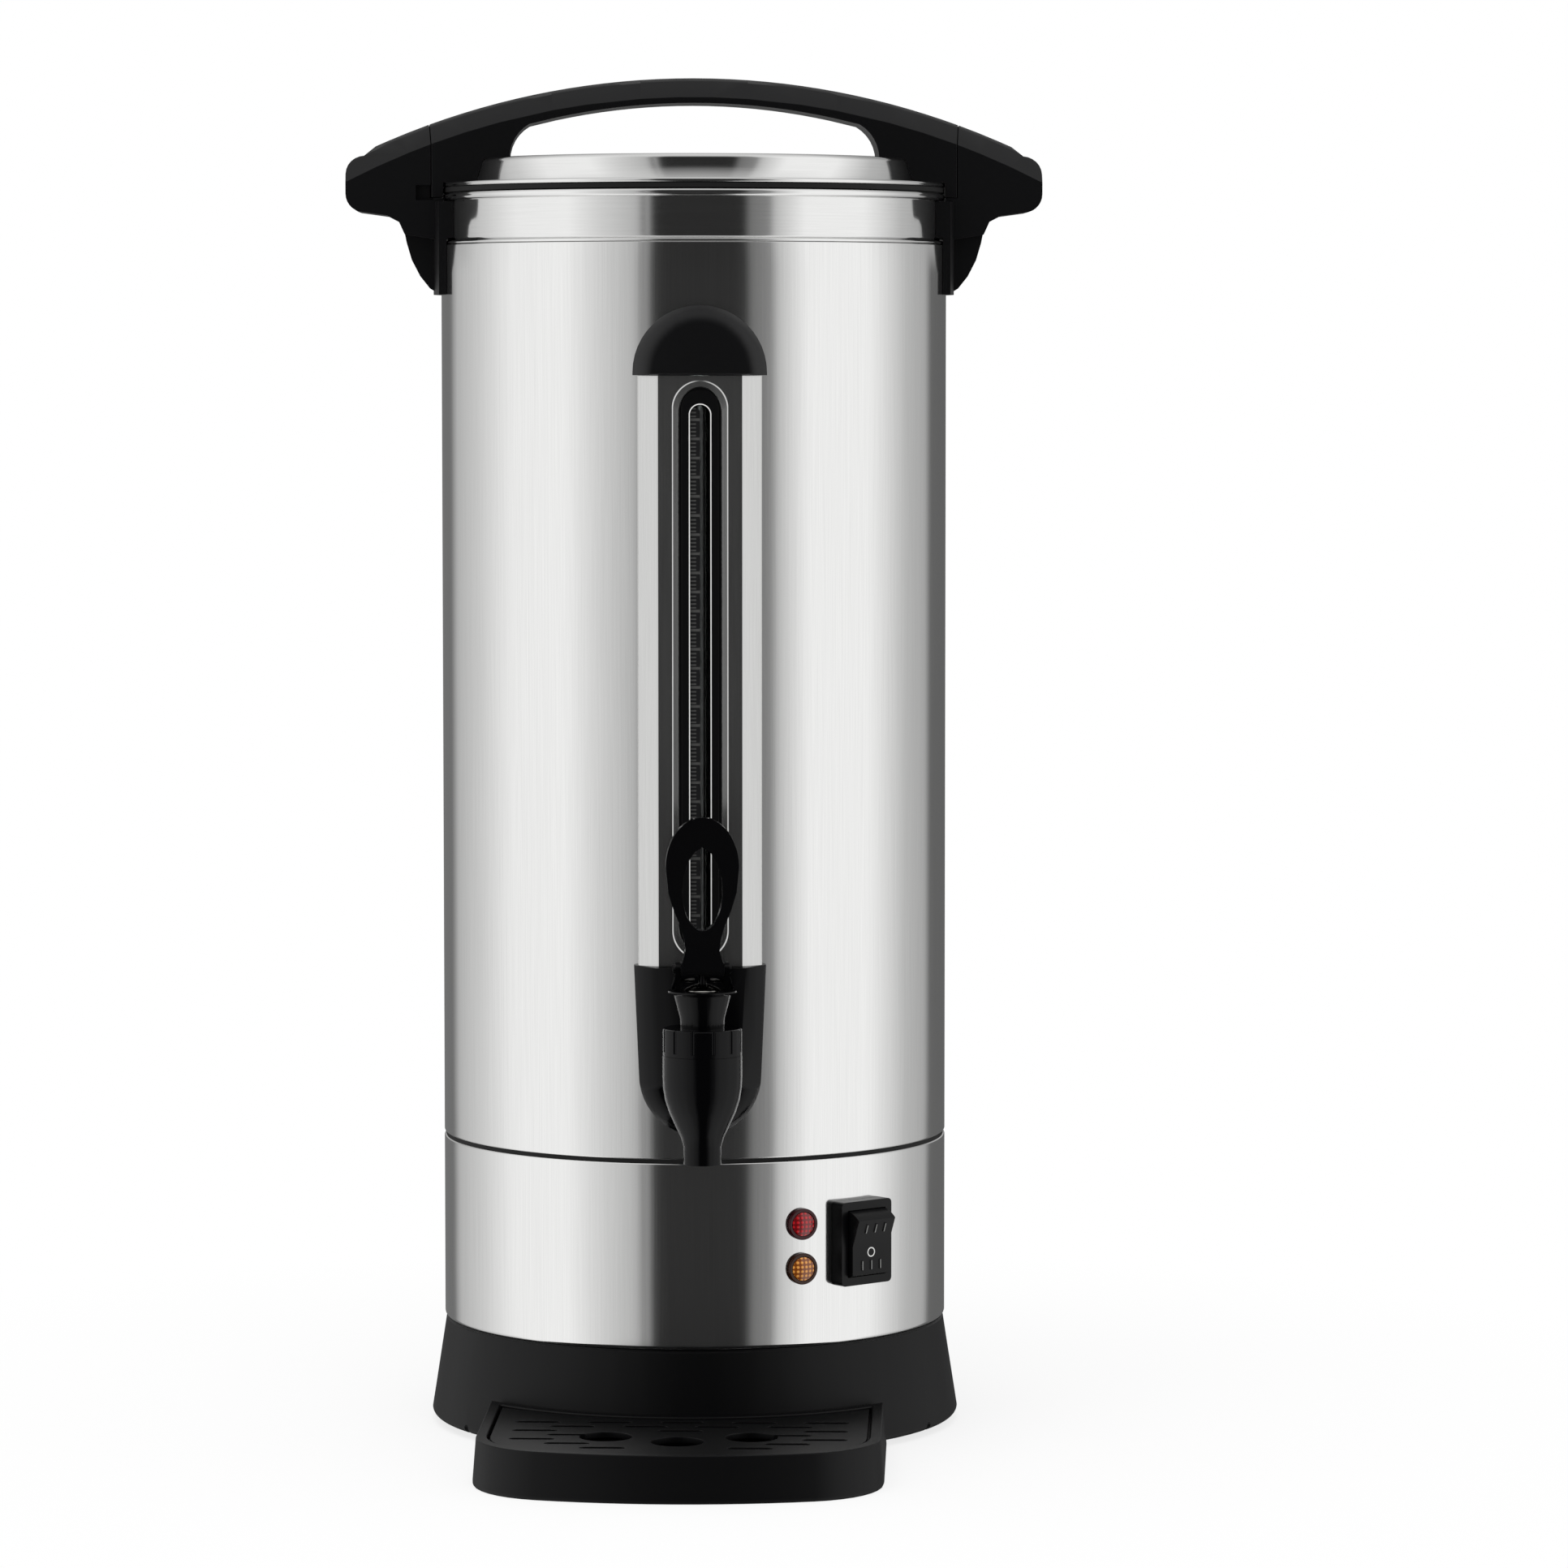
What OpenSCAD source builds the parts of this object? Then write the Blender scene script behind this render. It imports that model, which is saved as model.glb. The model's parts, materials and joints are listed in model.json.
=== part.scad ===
// Electric coffee urn: steel body, twist-off lid, sight gauge, lever tap and drip tray.
// Millimetres. The origin is on the floor under the body's axis; +Z is up and the tap faces -Y.

/* [Body] */
// Outside diameter of the steel body
body_d = 220; // [212:1:250]
// Thickness of the steel sheet
sheet_t = 1; // [0.8:0.1:1.3]
// Height of the rubber feet under the base skirt
foot_h = 2.4; // [2:0.1:5]
// Diameter of each rubber foot
foot_d = 16; // [12:0.5:17]
// Height of the moulded base skirt
skirt_h = 44; // [38:1:60]
// How far the skirt's lower edge stands out past the body
skirt_flare = 5.7; // [4:0.1:9]
// Wall of the moulded skirt
skirt_wall = 3; // [2.4:0.1:4]
// Height of the control band
band_h = 80; // [78:1:110]
// Height of the gasket line above the control band
seam_h = 1.6; // [1.2:0.1:3]
// Height of the upper shell
shell_h = 387; // [370:1:450]
// Air gap between the shell and the tank
tank_gap = 7; // [6.5:0.5:9]
// Height of the tank's collar above the shell
collar_h = 22.5; // [20:0.5:30]
// How far the collar stands in from the shell
collar_in = 3; // [2.5:0.1:4]

/* [Lid] */
// Height of the lid from its flange to the edge of its top
lid_h = 12.6; // [11:0.1:20]
// How far the lid's raised part stands in from the body at its foot
lid_step = 13.5; // [12:0.5:20]
// Rise of the lid's crown
lid_crown = 0.8; // [0.5:0.1:4]
// Thickness of the lid gasket
lid_gasket_h = 2; // [1.6:0.1:3]

/* [Handles] */
// Height of the lid handle's top above the edge of the lid's top
arch_h = 34.9; // [30:0.1:50]
// Thickness of the lid handle at its middle
arch_t = 11; // [8:0.5:14]
// Width of the handles, front to back
handle_w = 34; // [28:1:40]
// How far the side handles reach past the body
grip_reach = 41; // [34:1:55]
// Height of the grip's blunt end
grip_end_h = 16.5; // [12:0.5:20]
// Width of the bracket plate on the body
bracket_w = 50; // [40:1:80]
// Height of the bracket plate
bracket_h = 21.5; // [18:0.5:30]
// Width of the web under the grip
web_w = 22; // [16:1:28]

/* [Gauge] */
// Width of the gauge cover on the body
gauge_w = 52.2; // [48:0.5:54]
// Width of the cover's flat front
gauge_flat_w = 36.2; // [30:0.2:40]
// How far the cover stands out from the body
gauge_out = 10.2; // [9.6:0.1:14]
// Distance of the cover's top below the shell's top
gauge_drop = 56; // [48:1:90]
// Outside diameter of the sight tube
sight_d = 6.8; // [6:0.2:7]
// Width of the window's slot
window_w = 8.9; // [8:0.1:10]
// Diameter of the rounded cap over the cover
cap_d = 56.2; // [54:0.2:60]

/* [Tap] */
// Height of the shank's axis above the seam
shank_rise = 37; // [32:0.5:45]
// Distance of the tap's axis from the body
tap_out = 42; // [40:0.5:55]
// Largest diameter of the tap's body
tap_d = 33.2; // [31:0.2:38]
// Outside diameter of the spout
spout_d = 15.8; // [14:0.2:17]
// Bore of the spout
spout_bore = 11; // [8:0.5:11.5]
// Outside diameter of the threaded shank
shank_d = 13; // [11:0.5:14]
// Width of the lever's foot
lever_foot_w = 26; // [25:0.2:28]
// Width of the lever's ring
lever_ring_w = 30.4; // [28:0.2:34]
// Height of the lever above its pivot
lever_h = 63.6; // [58:0.2:75]
// Diameter of the valve stem
stem_d = 3.2; // [2.6:0.1:3.4]

/* [Controls] */
// Height of the switch's middle above the band's lower edge
switch_rise = 43.4; // [38:0.2:48]
// Turn of the switch from the front
switch_turn = 38.1; // [36:0.1:60]
// Width of the switch's frame
switch_w = 28; // [27:0.5:32]
// Height of the switch's frame
switch_h = 36; // [33:0.5:40]
// Total angle through which the rocker tips
rocker_tip = 20; // [14:1:24]
// Turn of the lamps from the front
lamp_turn = 23.1; // [20:0.1:25]
// Diameter of a lamp's bezel
lamp_d = 13.5; // [12:0.1:15]
// Distance between the two lamps
lamp_pitch = 19.1; // [16:0.1:22]

/* [Drip tray] */
// Width of the tray
tray_w = 171; // [150:1:190]
// Distance of the tray's front from the body
tray_out = 102; // [90:1:120]
// Height of the tray
tray_h = 20; // [16:0.5:30]
// Thickness of the tray's floor
tray_floor = 2.4; // [2:0.1:3.5]
// Thickness of the grate
grate_t = 2.6; // [2:0.1:3.5]
// Turn of the loose tray round the body
tray_turn = -3.6; // [-8:0.1:8]
// Diameter of the grate's round holes
drain_d = 21.8; // [16:0.2:24]

/* [Brewing] */
// Outside diameter of the percolator tube
perc_d = 10; // [8:0.5:12]
// Diameter of the coffee basket
basket_d = 140; // [110:1:160]
// Height of the coffee basket
basket_h = 70; // [50:1:90]

/* [Hidden] */
$fn = 96;

fit = 0.05;        // running clearance of pins, screws and shanks in their holes
seat = 0.1;        // assembly gap between pieces that rest on each other
clear = 0.4;       // gap between pieces that move past each other
eps = 0.02;

// Radii of the body
body_r = body_d / 2;
shell_in = body_r - sheet_t;
tank_r = shell_in - tank_gap;
tank_in = tank_r - sheet_t;
neck_r = body_r - collar_in;
neck_in = neck_r - sheet_t;
rim_r = 1.8;
rim_mid_r = body_r - 0.3 - rim_r;
hem_r = 0.8;

// Heights of the body, from the floor up
skirt_z = foot_h;
band_z = skirt_z + skirt_h;
seam_z = band_z + band_h;
shell_z = seam_z + seam_h;
shoulder_z = shell_z + shell_h;
rim_z = shoulder_z + collar_h;
rim_mid_z = rim_z - rim_r;
floor_z = shell_z + 8;
well_r = 32;
well_z = floor_z - 10;
flare_h = 5;
tank_corner = 6;

// Base
skirt_foot_r = body_r + skirt_flare;
skirt_top_r = body_r - 0.6;
skirt_edge = 3;
lip_r = shell_in - 1.3;
lip_h = 6;
lip_t = 3;
flange_in = body_r - 18;
foot_ring_r = skirt_foot_r - skirt_wall - foot_d / 2 - 2.5;
foot_boss_r = foot_d / 2 + 1.2;
ledge_z = skirt_z + 6;
ledge_t = 3;
plug_r = 3;
cover_r = foot_ring_r - foot_boss_r - 0.8;
cover_t = 2.5;
cover_screw_r = cover_r - 4;
ledge_in = cover_screw_r - 5;
pan_t = 1.2;
pan_r = lip_r - lip_t - 0.3;
pan_z = band_z;
pan_screw_r = flange_in + 4.5;
screw_r = 1.5;
screw_head_r = 2.8;
screw_head_h = 1.8;

// Lid
lid_z = rim_z + lid_gasket_h + 2 * seat;
lid_top_z = lid_z + lid_h;
lid_foot_r = body_r - lid_step;
lid_slope = 3;
lid_edge = 2.4;
curl_r = 1;
lip_drop = 10;
lid_lip_r = neck_in - 2.8;
lug_z = rim_z - 5;
lug_h = 1.6;
lug_in = lid_lip_r + 0.5;
lug_span = 24;
tab_span = 12;
tab_back = 15;

// Handles share one arch about an axis along Y
seam_r = body_r + 5;
seam_gap = 0.4;
grip_r = body_r + grip_reach;
arch_top_z = lid_top_z + arch_h;
arch_drop = 35.7 * arch_h / 34.9;
arch_r = (grip_r * grip_r + arch_drop * arch_drop) / (2 * arch_drop);
arch_z = arch_top_z - arch_r;
bevel_h = 8.5;
bevel_w = 5;
foot_x = body_r - 30;
hollow_r = 17;
hollow_a = 60;
nest_z = lid_z - 4.5;
foot_low_z = nest_z + 0.3;
bracket_t = 3.4;
grip_top_z = arch_z + sqrt(arch_r * arch_r - grip_r * grip_r);
grip_low_z = grip_top_z - 5 - grip_end_h;
lid_screw_x = foot_x + 3.6;
lid_screw_y = 9;

// Gauge
gauge_y = body_r + gauge_out;
gauge_t = 1.2;
shank_z = shell_z + shank_rise;
plate_top_z = shank_z + 46;
gauge_z = plate_top_z;
gauge_top_z = shoulder_z - gauge_drop;
gauge_len = gauge_top_z - gauge_z;
tube_y = body_r + 1 + sight_d / 2;
slot_margin = 3.3;
slot_w = 17.8;
press_w = 23.6;
boss_w = 15.4;
window_z0 = gauge_z + 8;
window_z1 = gauge_top_z - 12;
cap_front = gauge_y + 4.8;
cap_bevel = 8.4;
cap_mid_z = gauge_top_z + 1.2;
grommet_h = 7;

// Tap
tap_y = body_r + tap_out;
plate_w = 51.6;
plate_top_w = 55.7;
plate_front = body_r + 14;
plate_bevel = 9;
plate_t = 1.8;
plate_low_z = shank_z - 26.6;
tap_r = tap_d / 2;
spout_z = shank_z - 33;
spout_r = spout_d / 2;
spout_len = 7.4;
seat_z = shank_z - 12;
chamber_r = tap_r - 4.1;
bonnet_z = shank_z + 12.6;
nut_h = 11.4;
nut_z = bonnet_z + nut_h;
neck_foot_r = 9.2;
bowl_z = nut_z + 4;
bowl_top_r = 11.9;
bowl_h = 9.7;
lip_out_r = 14.3;
lip_z = bowl_z + bowl_h + 1.9;
spring_room_r = 8.5;
spring_top_z = nut_z - 1.5;
shank_r = shank_d / 2;
shank_bore = 4.8;
nut_flats = 22;
groove_r = 0.9;

// Lever and valve: an eccentric bar on the lever lifts the stem
pivot_z = lip_z + 8.4;
lever_turn = 40;
lobe_e = 6.2;
lobe_r = 1.2;
lobe_z = pivot_z - lobe_e * sin(lever_turn / 2);
lobe_y = tap_y - lobe_e * cos(lever_turn / 2);
stem_r = stem_d / 2;
head_z = lobe_z + lobe_r + seat;
head_t = 2.4;
stem_slot = 3.2;
slot_r = lobe_e + 3.2;
lug_x0 = 9.3;
lug_x1 = 11.2;
lug_r = 3.5;
mid_x = 9;
cheek_x = 11.5;
mid_r = 5.2;
cheek_r = pivot_z - lip_z - 0.4;
pin_r = 1.4;
dome_r = 8;
dome_h = 2.8;
plate_gap = 0.2;
cup_r = 9;
cup_h = 7;
collar_t = 1.2;
coil_r = 5.4;
wire_r = 0.6;
coil_turns = 6;

// Controls
switch_z = band_z + switch_rise;
frame_out = 8;
frame_step = 2.2;
rocker_back = 5;
rocker_w = switch_w - 7.6;
rocker_r = switch_h * 0.4;
rocker_pin_r = 1.2;
rocker_proud = 0.6;
rocker_rear = 2.5;
switch_body_w = switch_w - 4;
switch_body_h = switch_h - 4.4;
switch_depth = 18;
lamp_mid_z = switch_z;
lamp_hole_r = 5.1;
lamp_barrel_r = 4.95;
lamp_lens_r = 5;
inlet_z = band_z + 42;
inlet_w = 27;
inlet_h = 20;
inlet_flange_w = 50;
inlet_flange_h = 25;
inlet_out = 3.6;
inlet_depth = 18;
inlet_screw_x = 20;
socket_w = 24;
socket_h = 16.4;
socket_depth = 16;

// Heating
plate_gap_z = well_z - seat;
heater_r = well_r - 2;
heater_h = 8;
element_r = 22;
element_t = 3.4;
rod_r = 3;
nut_across = 10;
nut_t = 5;
warm_w = 12;
thermostat_x = 52;
thermostat_y = 18;
fuse_y = 52;
terminal_x = -48;
terminal_pitch = 8;

// Brewing
perc_r = perc_d / 2;
perc_wall = 1;
bell_r = well_r - sheet_t - 2;
bell_z = well_z + sheet_t + seat;
perc_top_z = shoulder_z - 4;
basket_z = shoulder_z - 60 - basket_h;
stop_h = 4;
basket_t = 0.8;
valve_r = bell_r - 9;
valve_z = bell_z + 1.7;

// Drip tray
tray_front = body_r + tray_out;
tray_back = skirt_foot_r + 0.9;
tray_corner = 38;
tray_draft = 1.4;
rim_w = 4.6;
grate_gap = 1.2;
grate_ledge = 1.6;
grate_z = tray_h - grate_t - 0.7;
slot_len = 19;
slot_pitch = 15.2;
row_pitch = 20;
drain_x = 30.3;
drain_y = body_r + 53;
drain_mid_y = drain_y + 11;

// Colours
black = "#1a1a1b";
steel = "#c9cacb";
brass = "#b9985a";
rubber = "#222222";
white = "#e8e6df";

// ---- Helpers ----------------------------------------------------------------------------

// Points of an arc about (cx, cy)
function arc(cx, cy, r, a0, a1, n = 10) =
    [for (i = [0:n]) let (a = a0 + (a1 - a0) * i / n) [cx + r * cos(a), cy + r * sin(a)]];

// Outline of a slot with round ends, upright between v0 and v1
function slot_points(w, v0, v1, n = 16) =
    concat(arc(0, v1 - w / 2, w / 2, 0, 180, n), arc(0, v0 + w / 2, w / 2, 180, 360, n));

// Radius of the skirt's outside at a height
function skirt_r(z) = skirt_foot_r - (z - skirt_z) / skirt_h * (skirt_foot_r - skirt_top_r);

// A round tube about Z
module tube(r_out, r_in, z0, z1) {
    translate([0, 0, z0])
        rotate_extrude()
            translate([r_in, 0])
                square([r_out - r_in, z1 - z0]);
}

// A rod along X, and one along Y
module rod_x(r, x0, x1, y, z) {
    translate([x0, y, z]) rotate([0, 90, 0]) cylinder(r = r, h = x1 - x0);
}
module rod_y(r, y0, y1, x, z) {
    translate([x, y1, z]) rotate([90, 0, 0]) cylinder(r = r, h = y1 - y0);
}

// An outline drawn in X and Z, extruded from y0 to y1
module plate_xz(y0, y1) {
    translate([0, y1, 0]) rotate([90, 0, 0]) linear_extrude(y1 - y0) children();
}

// An outline drawn in Y and Z, extruded from x0 to x1
module plate_yz(x0, x1) {
    translate([x0, 0, 0]) rotate([90, 0, 90]) linear_extrude(x1 - x0) children();
}

// A box from one corner to the other
module block(lo, hi) {
    translate(lo) cube(hi - lo);
}

// Copies spaced evenly round Z
module polar(n, start = 0) {
    for (i = [0:n - 1]) rotate(start + 360 * i / n) children();
}

// An insulated wire of radius r along a list of points, mitred where it bends
module wire(points, r = 1.3) {
    last = len(points) - 1;
    sides = 8;
    way = [for (i = [0:last])
        let (v = points[min(i + 1, last)] - points[max(i - 1, 0)]) v / norm(v)];
    rings = [for (i = [0:last], j = [0:sides - 1])
        let (side = cross(way[i], [0.31, 0.17, 0.93]), u = side / norm(side),
            v = cross(way[i], u), a = 360 * j / sides)
        points[i] + r * cos(a) * u + r * sin(a) * v];
    walls = [for (i = [0:last - 1], j = [0:sides - 1])
        let (k = (j + 1) % sides)
        [i * sides + k, (i + 1) * sides + k, (i + 1) * sides + j, i * sides + j]];
    polyhedron(rings, concat(walls, [[for (j = [0:sides - 1]) j]],
        [[for (j = [sides - 1:-1:0]) last * sides + j]]), convexity = 6);
}

// A hexagon nut about Z
module hex_nut(across, z0, h, bore) {
    difference() {
        translate([0, 0, z0]) cylinder(r = across / 2 / cos(30), h = h, $fn = 6);
        translate([0, 0, z0 - 1]) cylinder(r = bore, h = h + 2);
    }
}

// ---- Body -------------------------------------------------------------------------------

module inner_tank() {
    color(steel)
        difference() {
            union() {
                rotate_extrude()
                    polygon(concat(
                        [[0, well_z], [well_r, well_z], [well_r, floor_z]],
                        arc(tank_r - tank_corner, floor_z + tank_corner, tank_corner, 270, 360, 6),
                        [[tank_r, shoulder_z - flare_h], [neck_r, shoulder_z], [neck_r, rim_mid_z],
                            [neck_in, rim_mid_z], [neck_in, shoulder_z + 0.4],
                            [tank_in, shoulder_z - flare_h + 0.4]],
                        arc(tank_r - tank_corner, floor_z + tank_corner, tank_corner - sheet_t,
                            360, 270, 6),
                        [[well_r - sheet_t, floor_z + sheet_t], [well_r - sheet_t, well_z + sheet_t],
                            [0, well_z + sheet_t]]));
                collar_bead();
                translate([0, 0, rim_mid_z])
                    rotate_extrude() translate([rim_mid_r, 0]) circle(r = rim_r);
                polar(3, 90)
                    rotate_extrude(angle = lug_span)
                        translate([lug_in, lug_z]) square([neck_in + 0.4 - lug_in, lug_h]);
            }
            rod_y(shank_r + 0.2, -tank_r - 3, -tank_in + 6, 0, shank_z);
        }
}

// The fold in the tank's wall that stands on the shell's top edge
module collar_bead() {
    bead_r = body_r - 0.3;
    bead_h = 1.5;
    rotate_extrude()
        polygon(concat(
            [[neck_in + 0.3, shoulder_z + seat]],
            arc(bead_r - bead_h / 2, shoulder_z + seat + bead_h / 2, bead_h / 2, -90, 90, 6),
            [[neck_r - 0.2, shoulder_z + seat + 2.6], [neck_in + 0.3, shoulder_z + seat + 2.6]]));
}

module outer_shell() {
    color(steel)
        difference() {
            rotate_extrude()
                polygon(concat(
                    [[tank_r + 1.2, shell_z]],
                    arc(body_r - hem_r, shell_z + hem_r, hem_r, 270, 360, 4),
                    [[body_r, shoulder_z], [shell_in, shoulder_z], [shell_in, shell_z + sheet_t],
                        [tank_r + 1.2, shell_z + sheet_t]]));
            rod_y(shank_r + 1, -body_r - 3, -shell_in + 6, 0, shank_z);
            side_screw_places() rod_x(2.1, shell_in - 8, body_r + 5, 0, 0);
        }
}

module control_band() {
    bottom_r = 2;
    color(steel)
        difference() {
            rotate_extrude()
                polygon(concat(
                    arc(body_r - bottom_r, band_z + bottom_r, bottom_r, 270, 360, 6),
                    arc(body_r - hem_r, seam_z - hem_r, hem_r, 0, 90, 4),
                    [[tank_r - 2, seam_z], [tank_r - 2, seam_z - sheet_t],
                        [shell_in, seam_z - sheet_t]],
                    arc(body_r - bottom_r, band_z + bottom_r, bottom_r - sheet_t, 360, 270, 6)));
            rotate(switch_turn)
                translate([-switch_body_w / 2 - 0.2, -body_r - 5, switch_z - switch_body_h / 2 - 0.2])
                    cube([switch_body_w + 0.4, 20, switch_body_h + 0.4]);
            lamp_places() rod_y(lamp_hole_r, -body_r - 5, -body_r + 10, 0, 0);
            translate([-inlet_w / 2 - 0.2, shell_in - 10, inlet_z - inlet_h / 2 - 0.2])
                cube([inlet_w + 0.4, 20, inlet_h + 0.4]);
            for (x = [-inlet_screw_x, inlet_screw_x])
                rod_y(screw_r + fit, shell_in - 10, body_r + 5, x, inlet_z);
        }
}

module seam_gasket() {
    color(rubber)
        tube(body_r - 0.7, tank_r - 1.6, seam_z, shell_z);
}

// ---- Base -------------------------------------------------------------------------------

module foot_places() {
    polar(4, 45) translate([foot_ring_r, 0, 0]) children();
}

module cover_screw_places() {
    polar(4) translate([cover_screw_r, 0, 0]) children();
}

module pan_screw_places() {
    polar(4, 45) translate([pan_screw_r, 0, 0]) children();
}

module base_skirt() {
    notch_r = 1.6;
    notch_h = 2.2;
    color(black)
        difference() {
            union() {
                rotate_extrude()
                    polygon(concat(
                        arc(skirt_foot_r - skirt_edge, skirt_z + skirt_edge, skirt_edge, 270, 355, 6),
                        [[skirt_top_r, band_z - 1], [skirt_top_r - 1, band_z],
                            [skirt_top_r - skirt_wall, band_z],
                            [skirt_foot_r - skirt_wall - 0.4, skirt_z]]));
                tube(skirt_r(band_z - 3) - 1, flange_in, band_z - 3, band_z);
                tube(lip_r, lip_r - lip_t, band_z - 1, band_z + lip_h);
                tube(skirt_r(ledge_z) - 1, ledge_in, ledge_z, ledge_z + ledge_t);
                foot_places()
                    translate([0, 0, skirt_z]) cylinder(r = foot_boss_r, h = ledge_z - skirt_z + 1);
                pan_screw_places()
                    translate([0, 0, band_z - 10]) cylinder(r = 4, h = 9);
            }
            foot_places() translate([0, 0, skirt_z - 1]) cylinder(r = plug_r + fit, h = 6.2);
            cover_screw_places()
                translate([0, 0, ledge_z - 1]) cylinder(r = screw_r + fit, h = ledge_t + 2);
            pan_screw_places()
                translate([0, 0, band_z - 9]) cylinder(r = screw_r + fit, h = 12);
            polar(6, 30)
                translate([skirt_foot_r - skirt_wall - 2, 0, skirt_z]) {
                    translate([0, 0, notch_h]) rotate([0, 90, 0]) cylinder(r = notch_r, h = skirt_wall + 6);
                    translate([0, -notch_r, -1]) cube([skirt_wall + 6, 2 * notch_r, notch_h + 1]);
                }
        }
}

module base_pan() {
    color(steel)
        difference() {
            union() {
                tube(pan_r, rod_r + 0.4, pan_z, pan_z + pan_t);
                tube(pan_r, pan_r - 1, pan_z, pan_z + 5);
            }
            pan_screw_places() translate([0, 0, pan_z - 1]) cylinder(r = screw_r + 0.2, h = 4);
        }
}

module bottom_cover() {
    vent_r = 3;
    color(black)
        difference() {
            translate([0, 0, ledge_z - cover_t]) cylinder(r = cover_r, h = cover_t);
            cover_screw_places() translate([0, 0, skirt_z]) cylinder(r = screw_r + 0.2, h = 12);
            polar(8, 22.5) translate([cover_r * 0.6, 0, skirt_z]) cylinder(r = vent_r, h = 12);
            polar(6) translate([cover_r * 0.35, 0, skirt_z]) cylinder(r = vent_r, h = 12);
        }
}

// Pan-head screw pointing up, with its head's seat at z = 0
module screw_up(length) {
    translate([0, 0, -screw_head_h]) cylinder(r = screw_head_r, h = screw_head_h);
    translate([0, 0, -0.5]) cylinder(r = screw_r, h = length + 0.5);
}

module base_screws() {
    color(steel) {
        cover_screw_places() translate([0, 0, ledge_z - cover_t]) screw_up(cover_t + ledge_t - 0.5);
        pan_screw_places() translate([0, 0, pan_z + pan_t]) rotate([180, 0, 0]) screw_up(8);
    }
}

module rubber_feet() {
    color(rubber)
        foot_places()
            rotate_extrude()
                polygon([[0, 0], [foot_d / 2 - 0.8, 0], [foot_d / 2, 0.8], [foot_d / 2, foot_h],
                    [plug_r, foot_h], [plug_r, foot_h + 5], [0, foot_h + 5]]);
}

// ---- Handles ----------------------------------------------------------------------------

// Round bar section that both the lid handle and the side handles are cut from
module arch_section() {
    half = handle_w / 2;
    translate([0, 0, arch_z])
        rotate([90, 0, 0])
            rotate_extrude()
                polygon(concat(
                    [[0, -half], [arch_r - bevel_h, -half]],
                    [[arch_r - 1.6, -half + bevel_w], [arch_r, -half + bevel_w + 3.5]],
                    [[arch_r, half - bevel_w - 3.5], [arch_r - 1.6, half - bevel_w]],
                    [[arch_r - bevel_h, half], [0, half]]));
}

module lid_handle() {
    hollow_x = foot_x - hollow_r + hollow_r * cos(hollow_a);
    hollow_z = lid_top_z + hollow_r * sin(hollow_a);
    under_z = arch_top_z - arch_t;
    under_rise = under_z - hollow_z;
    under_r = (hollow_x * hollow_x + under_rise * under_rise) / (2 * under_rise);
    under_a = asin(hollow_x / under_r);
    color(black)
        difference() {
            intersection() {
                arch_section();
                plate_xz(-handle_w, handle_w)
                    polygon(concat(
                        [[seam_r + 1, foot_low_z], [seam_r + 1, arch_top_z + 1],
                            [-seam_r - 1, arch_top_z + 1], [-seam_r - 1, foot_low_z],
                            [-foot_x, foot_low_z]],
                        arc(-foot_x + hollow_r, lid_top_z, hollow_r, 180, 180 - hollow_a, 6),
                        arc(0, under_z - under_r, under_r, 90 + under_a - 1, 90 - under_a + 1, 20),
                        arc(foot_x - hollow_r, lid_top_z, hollow_r, hollow_a, 0, 6),
                        [[foot_x, foot_low_z]]));
                cylinder(r = seam_r, h = arch_top_z + 10);
            }
            lid_envelope();
            for (x = [-lid_screw_x, lid_screw_x], y = [-lid_screw_y, lid_screw_y])
                translate([x, y, lid_top_z - 8]) cylinder(r = 1.8 + fit, h = 20);
        }
}

// The space that the lid, the gasket and the tank's rim take under the lid handle
module lid_envelope() {
    rotate_extrude()
        polygon(concat(
            [[0, shoulder_z], [body_r + seat, shoulder_z], [body_r + seat, lid_z + 2 * curl_r + seat],
                [lid_foot_r + 0.2, lid_z + 2 * curl_r + seat]],
            lid_outline(seat)));
}

// The lid's raised outline, from its foot to the centre, grown by g
function lid_outline(g) =
    let (top_r = lid_foot_r - lid_slope, z1 = lid_top_z - lid_edge)
    concat([[lid_foot_r + g, lid_z + sheet_t + g]],
        arc(top_r - lid_edge, z1, lid_edge + g, 0, 90, 6),
        [[(top_r - lid_edge) / 2, lid_top_z + g + lid_crown * 0.75], [0, lid_top_z + g + lid_crown]]);

module lid_handle_screws() {
    color(steel)
        for (x = [-lid_screw_x, lid_screw_x], y = [-lid_screw_y, lid_screw_y])
            translate([x, y, lid_top_z - sheet_t - seat]) {
                translate([0, 0, -2]) cylinder(r = 2.9, h = 2);
                translate([0, 0, -0.5]) cylinder(r = 1.8, h = 11);
            }
}

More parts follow.
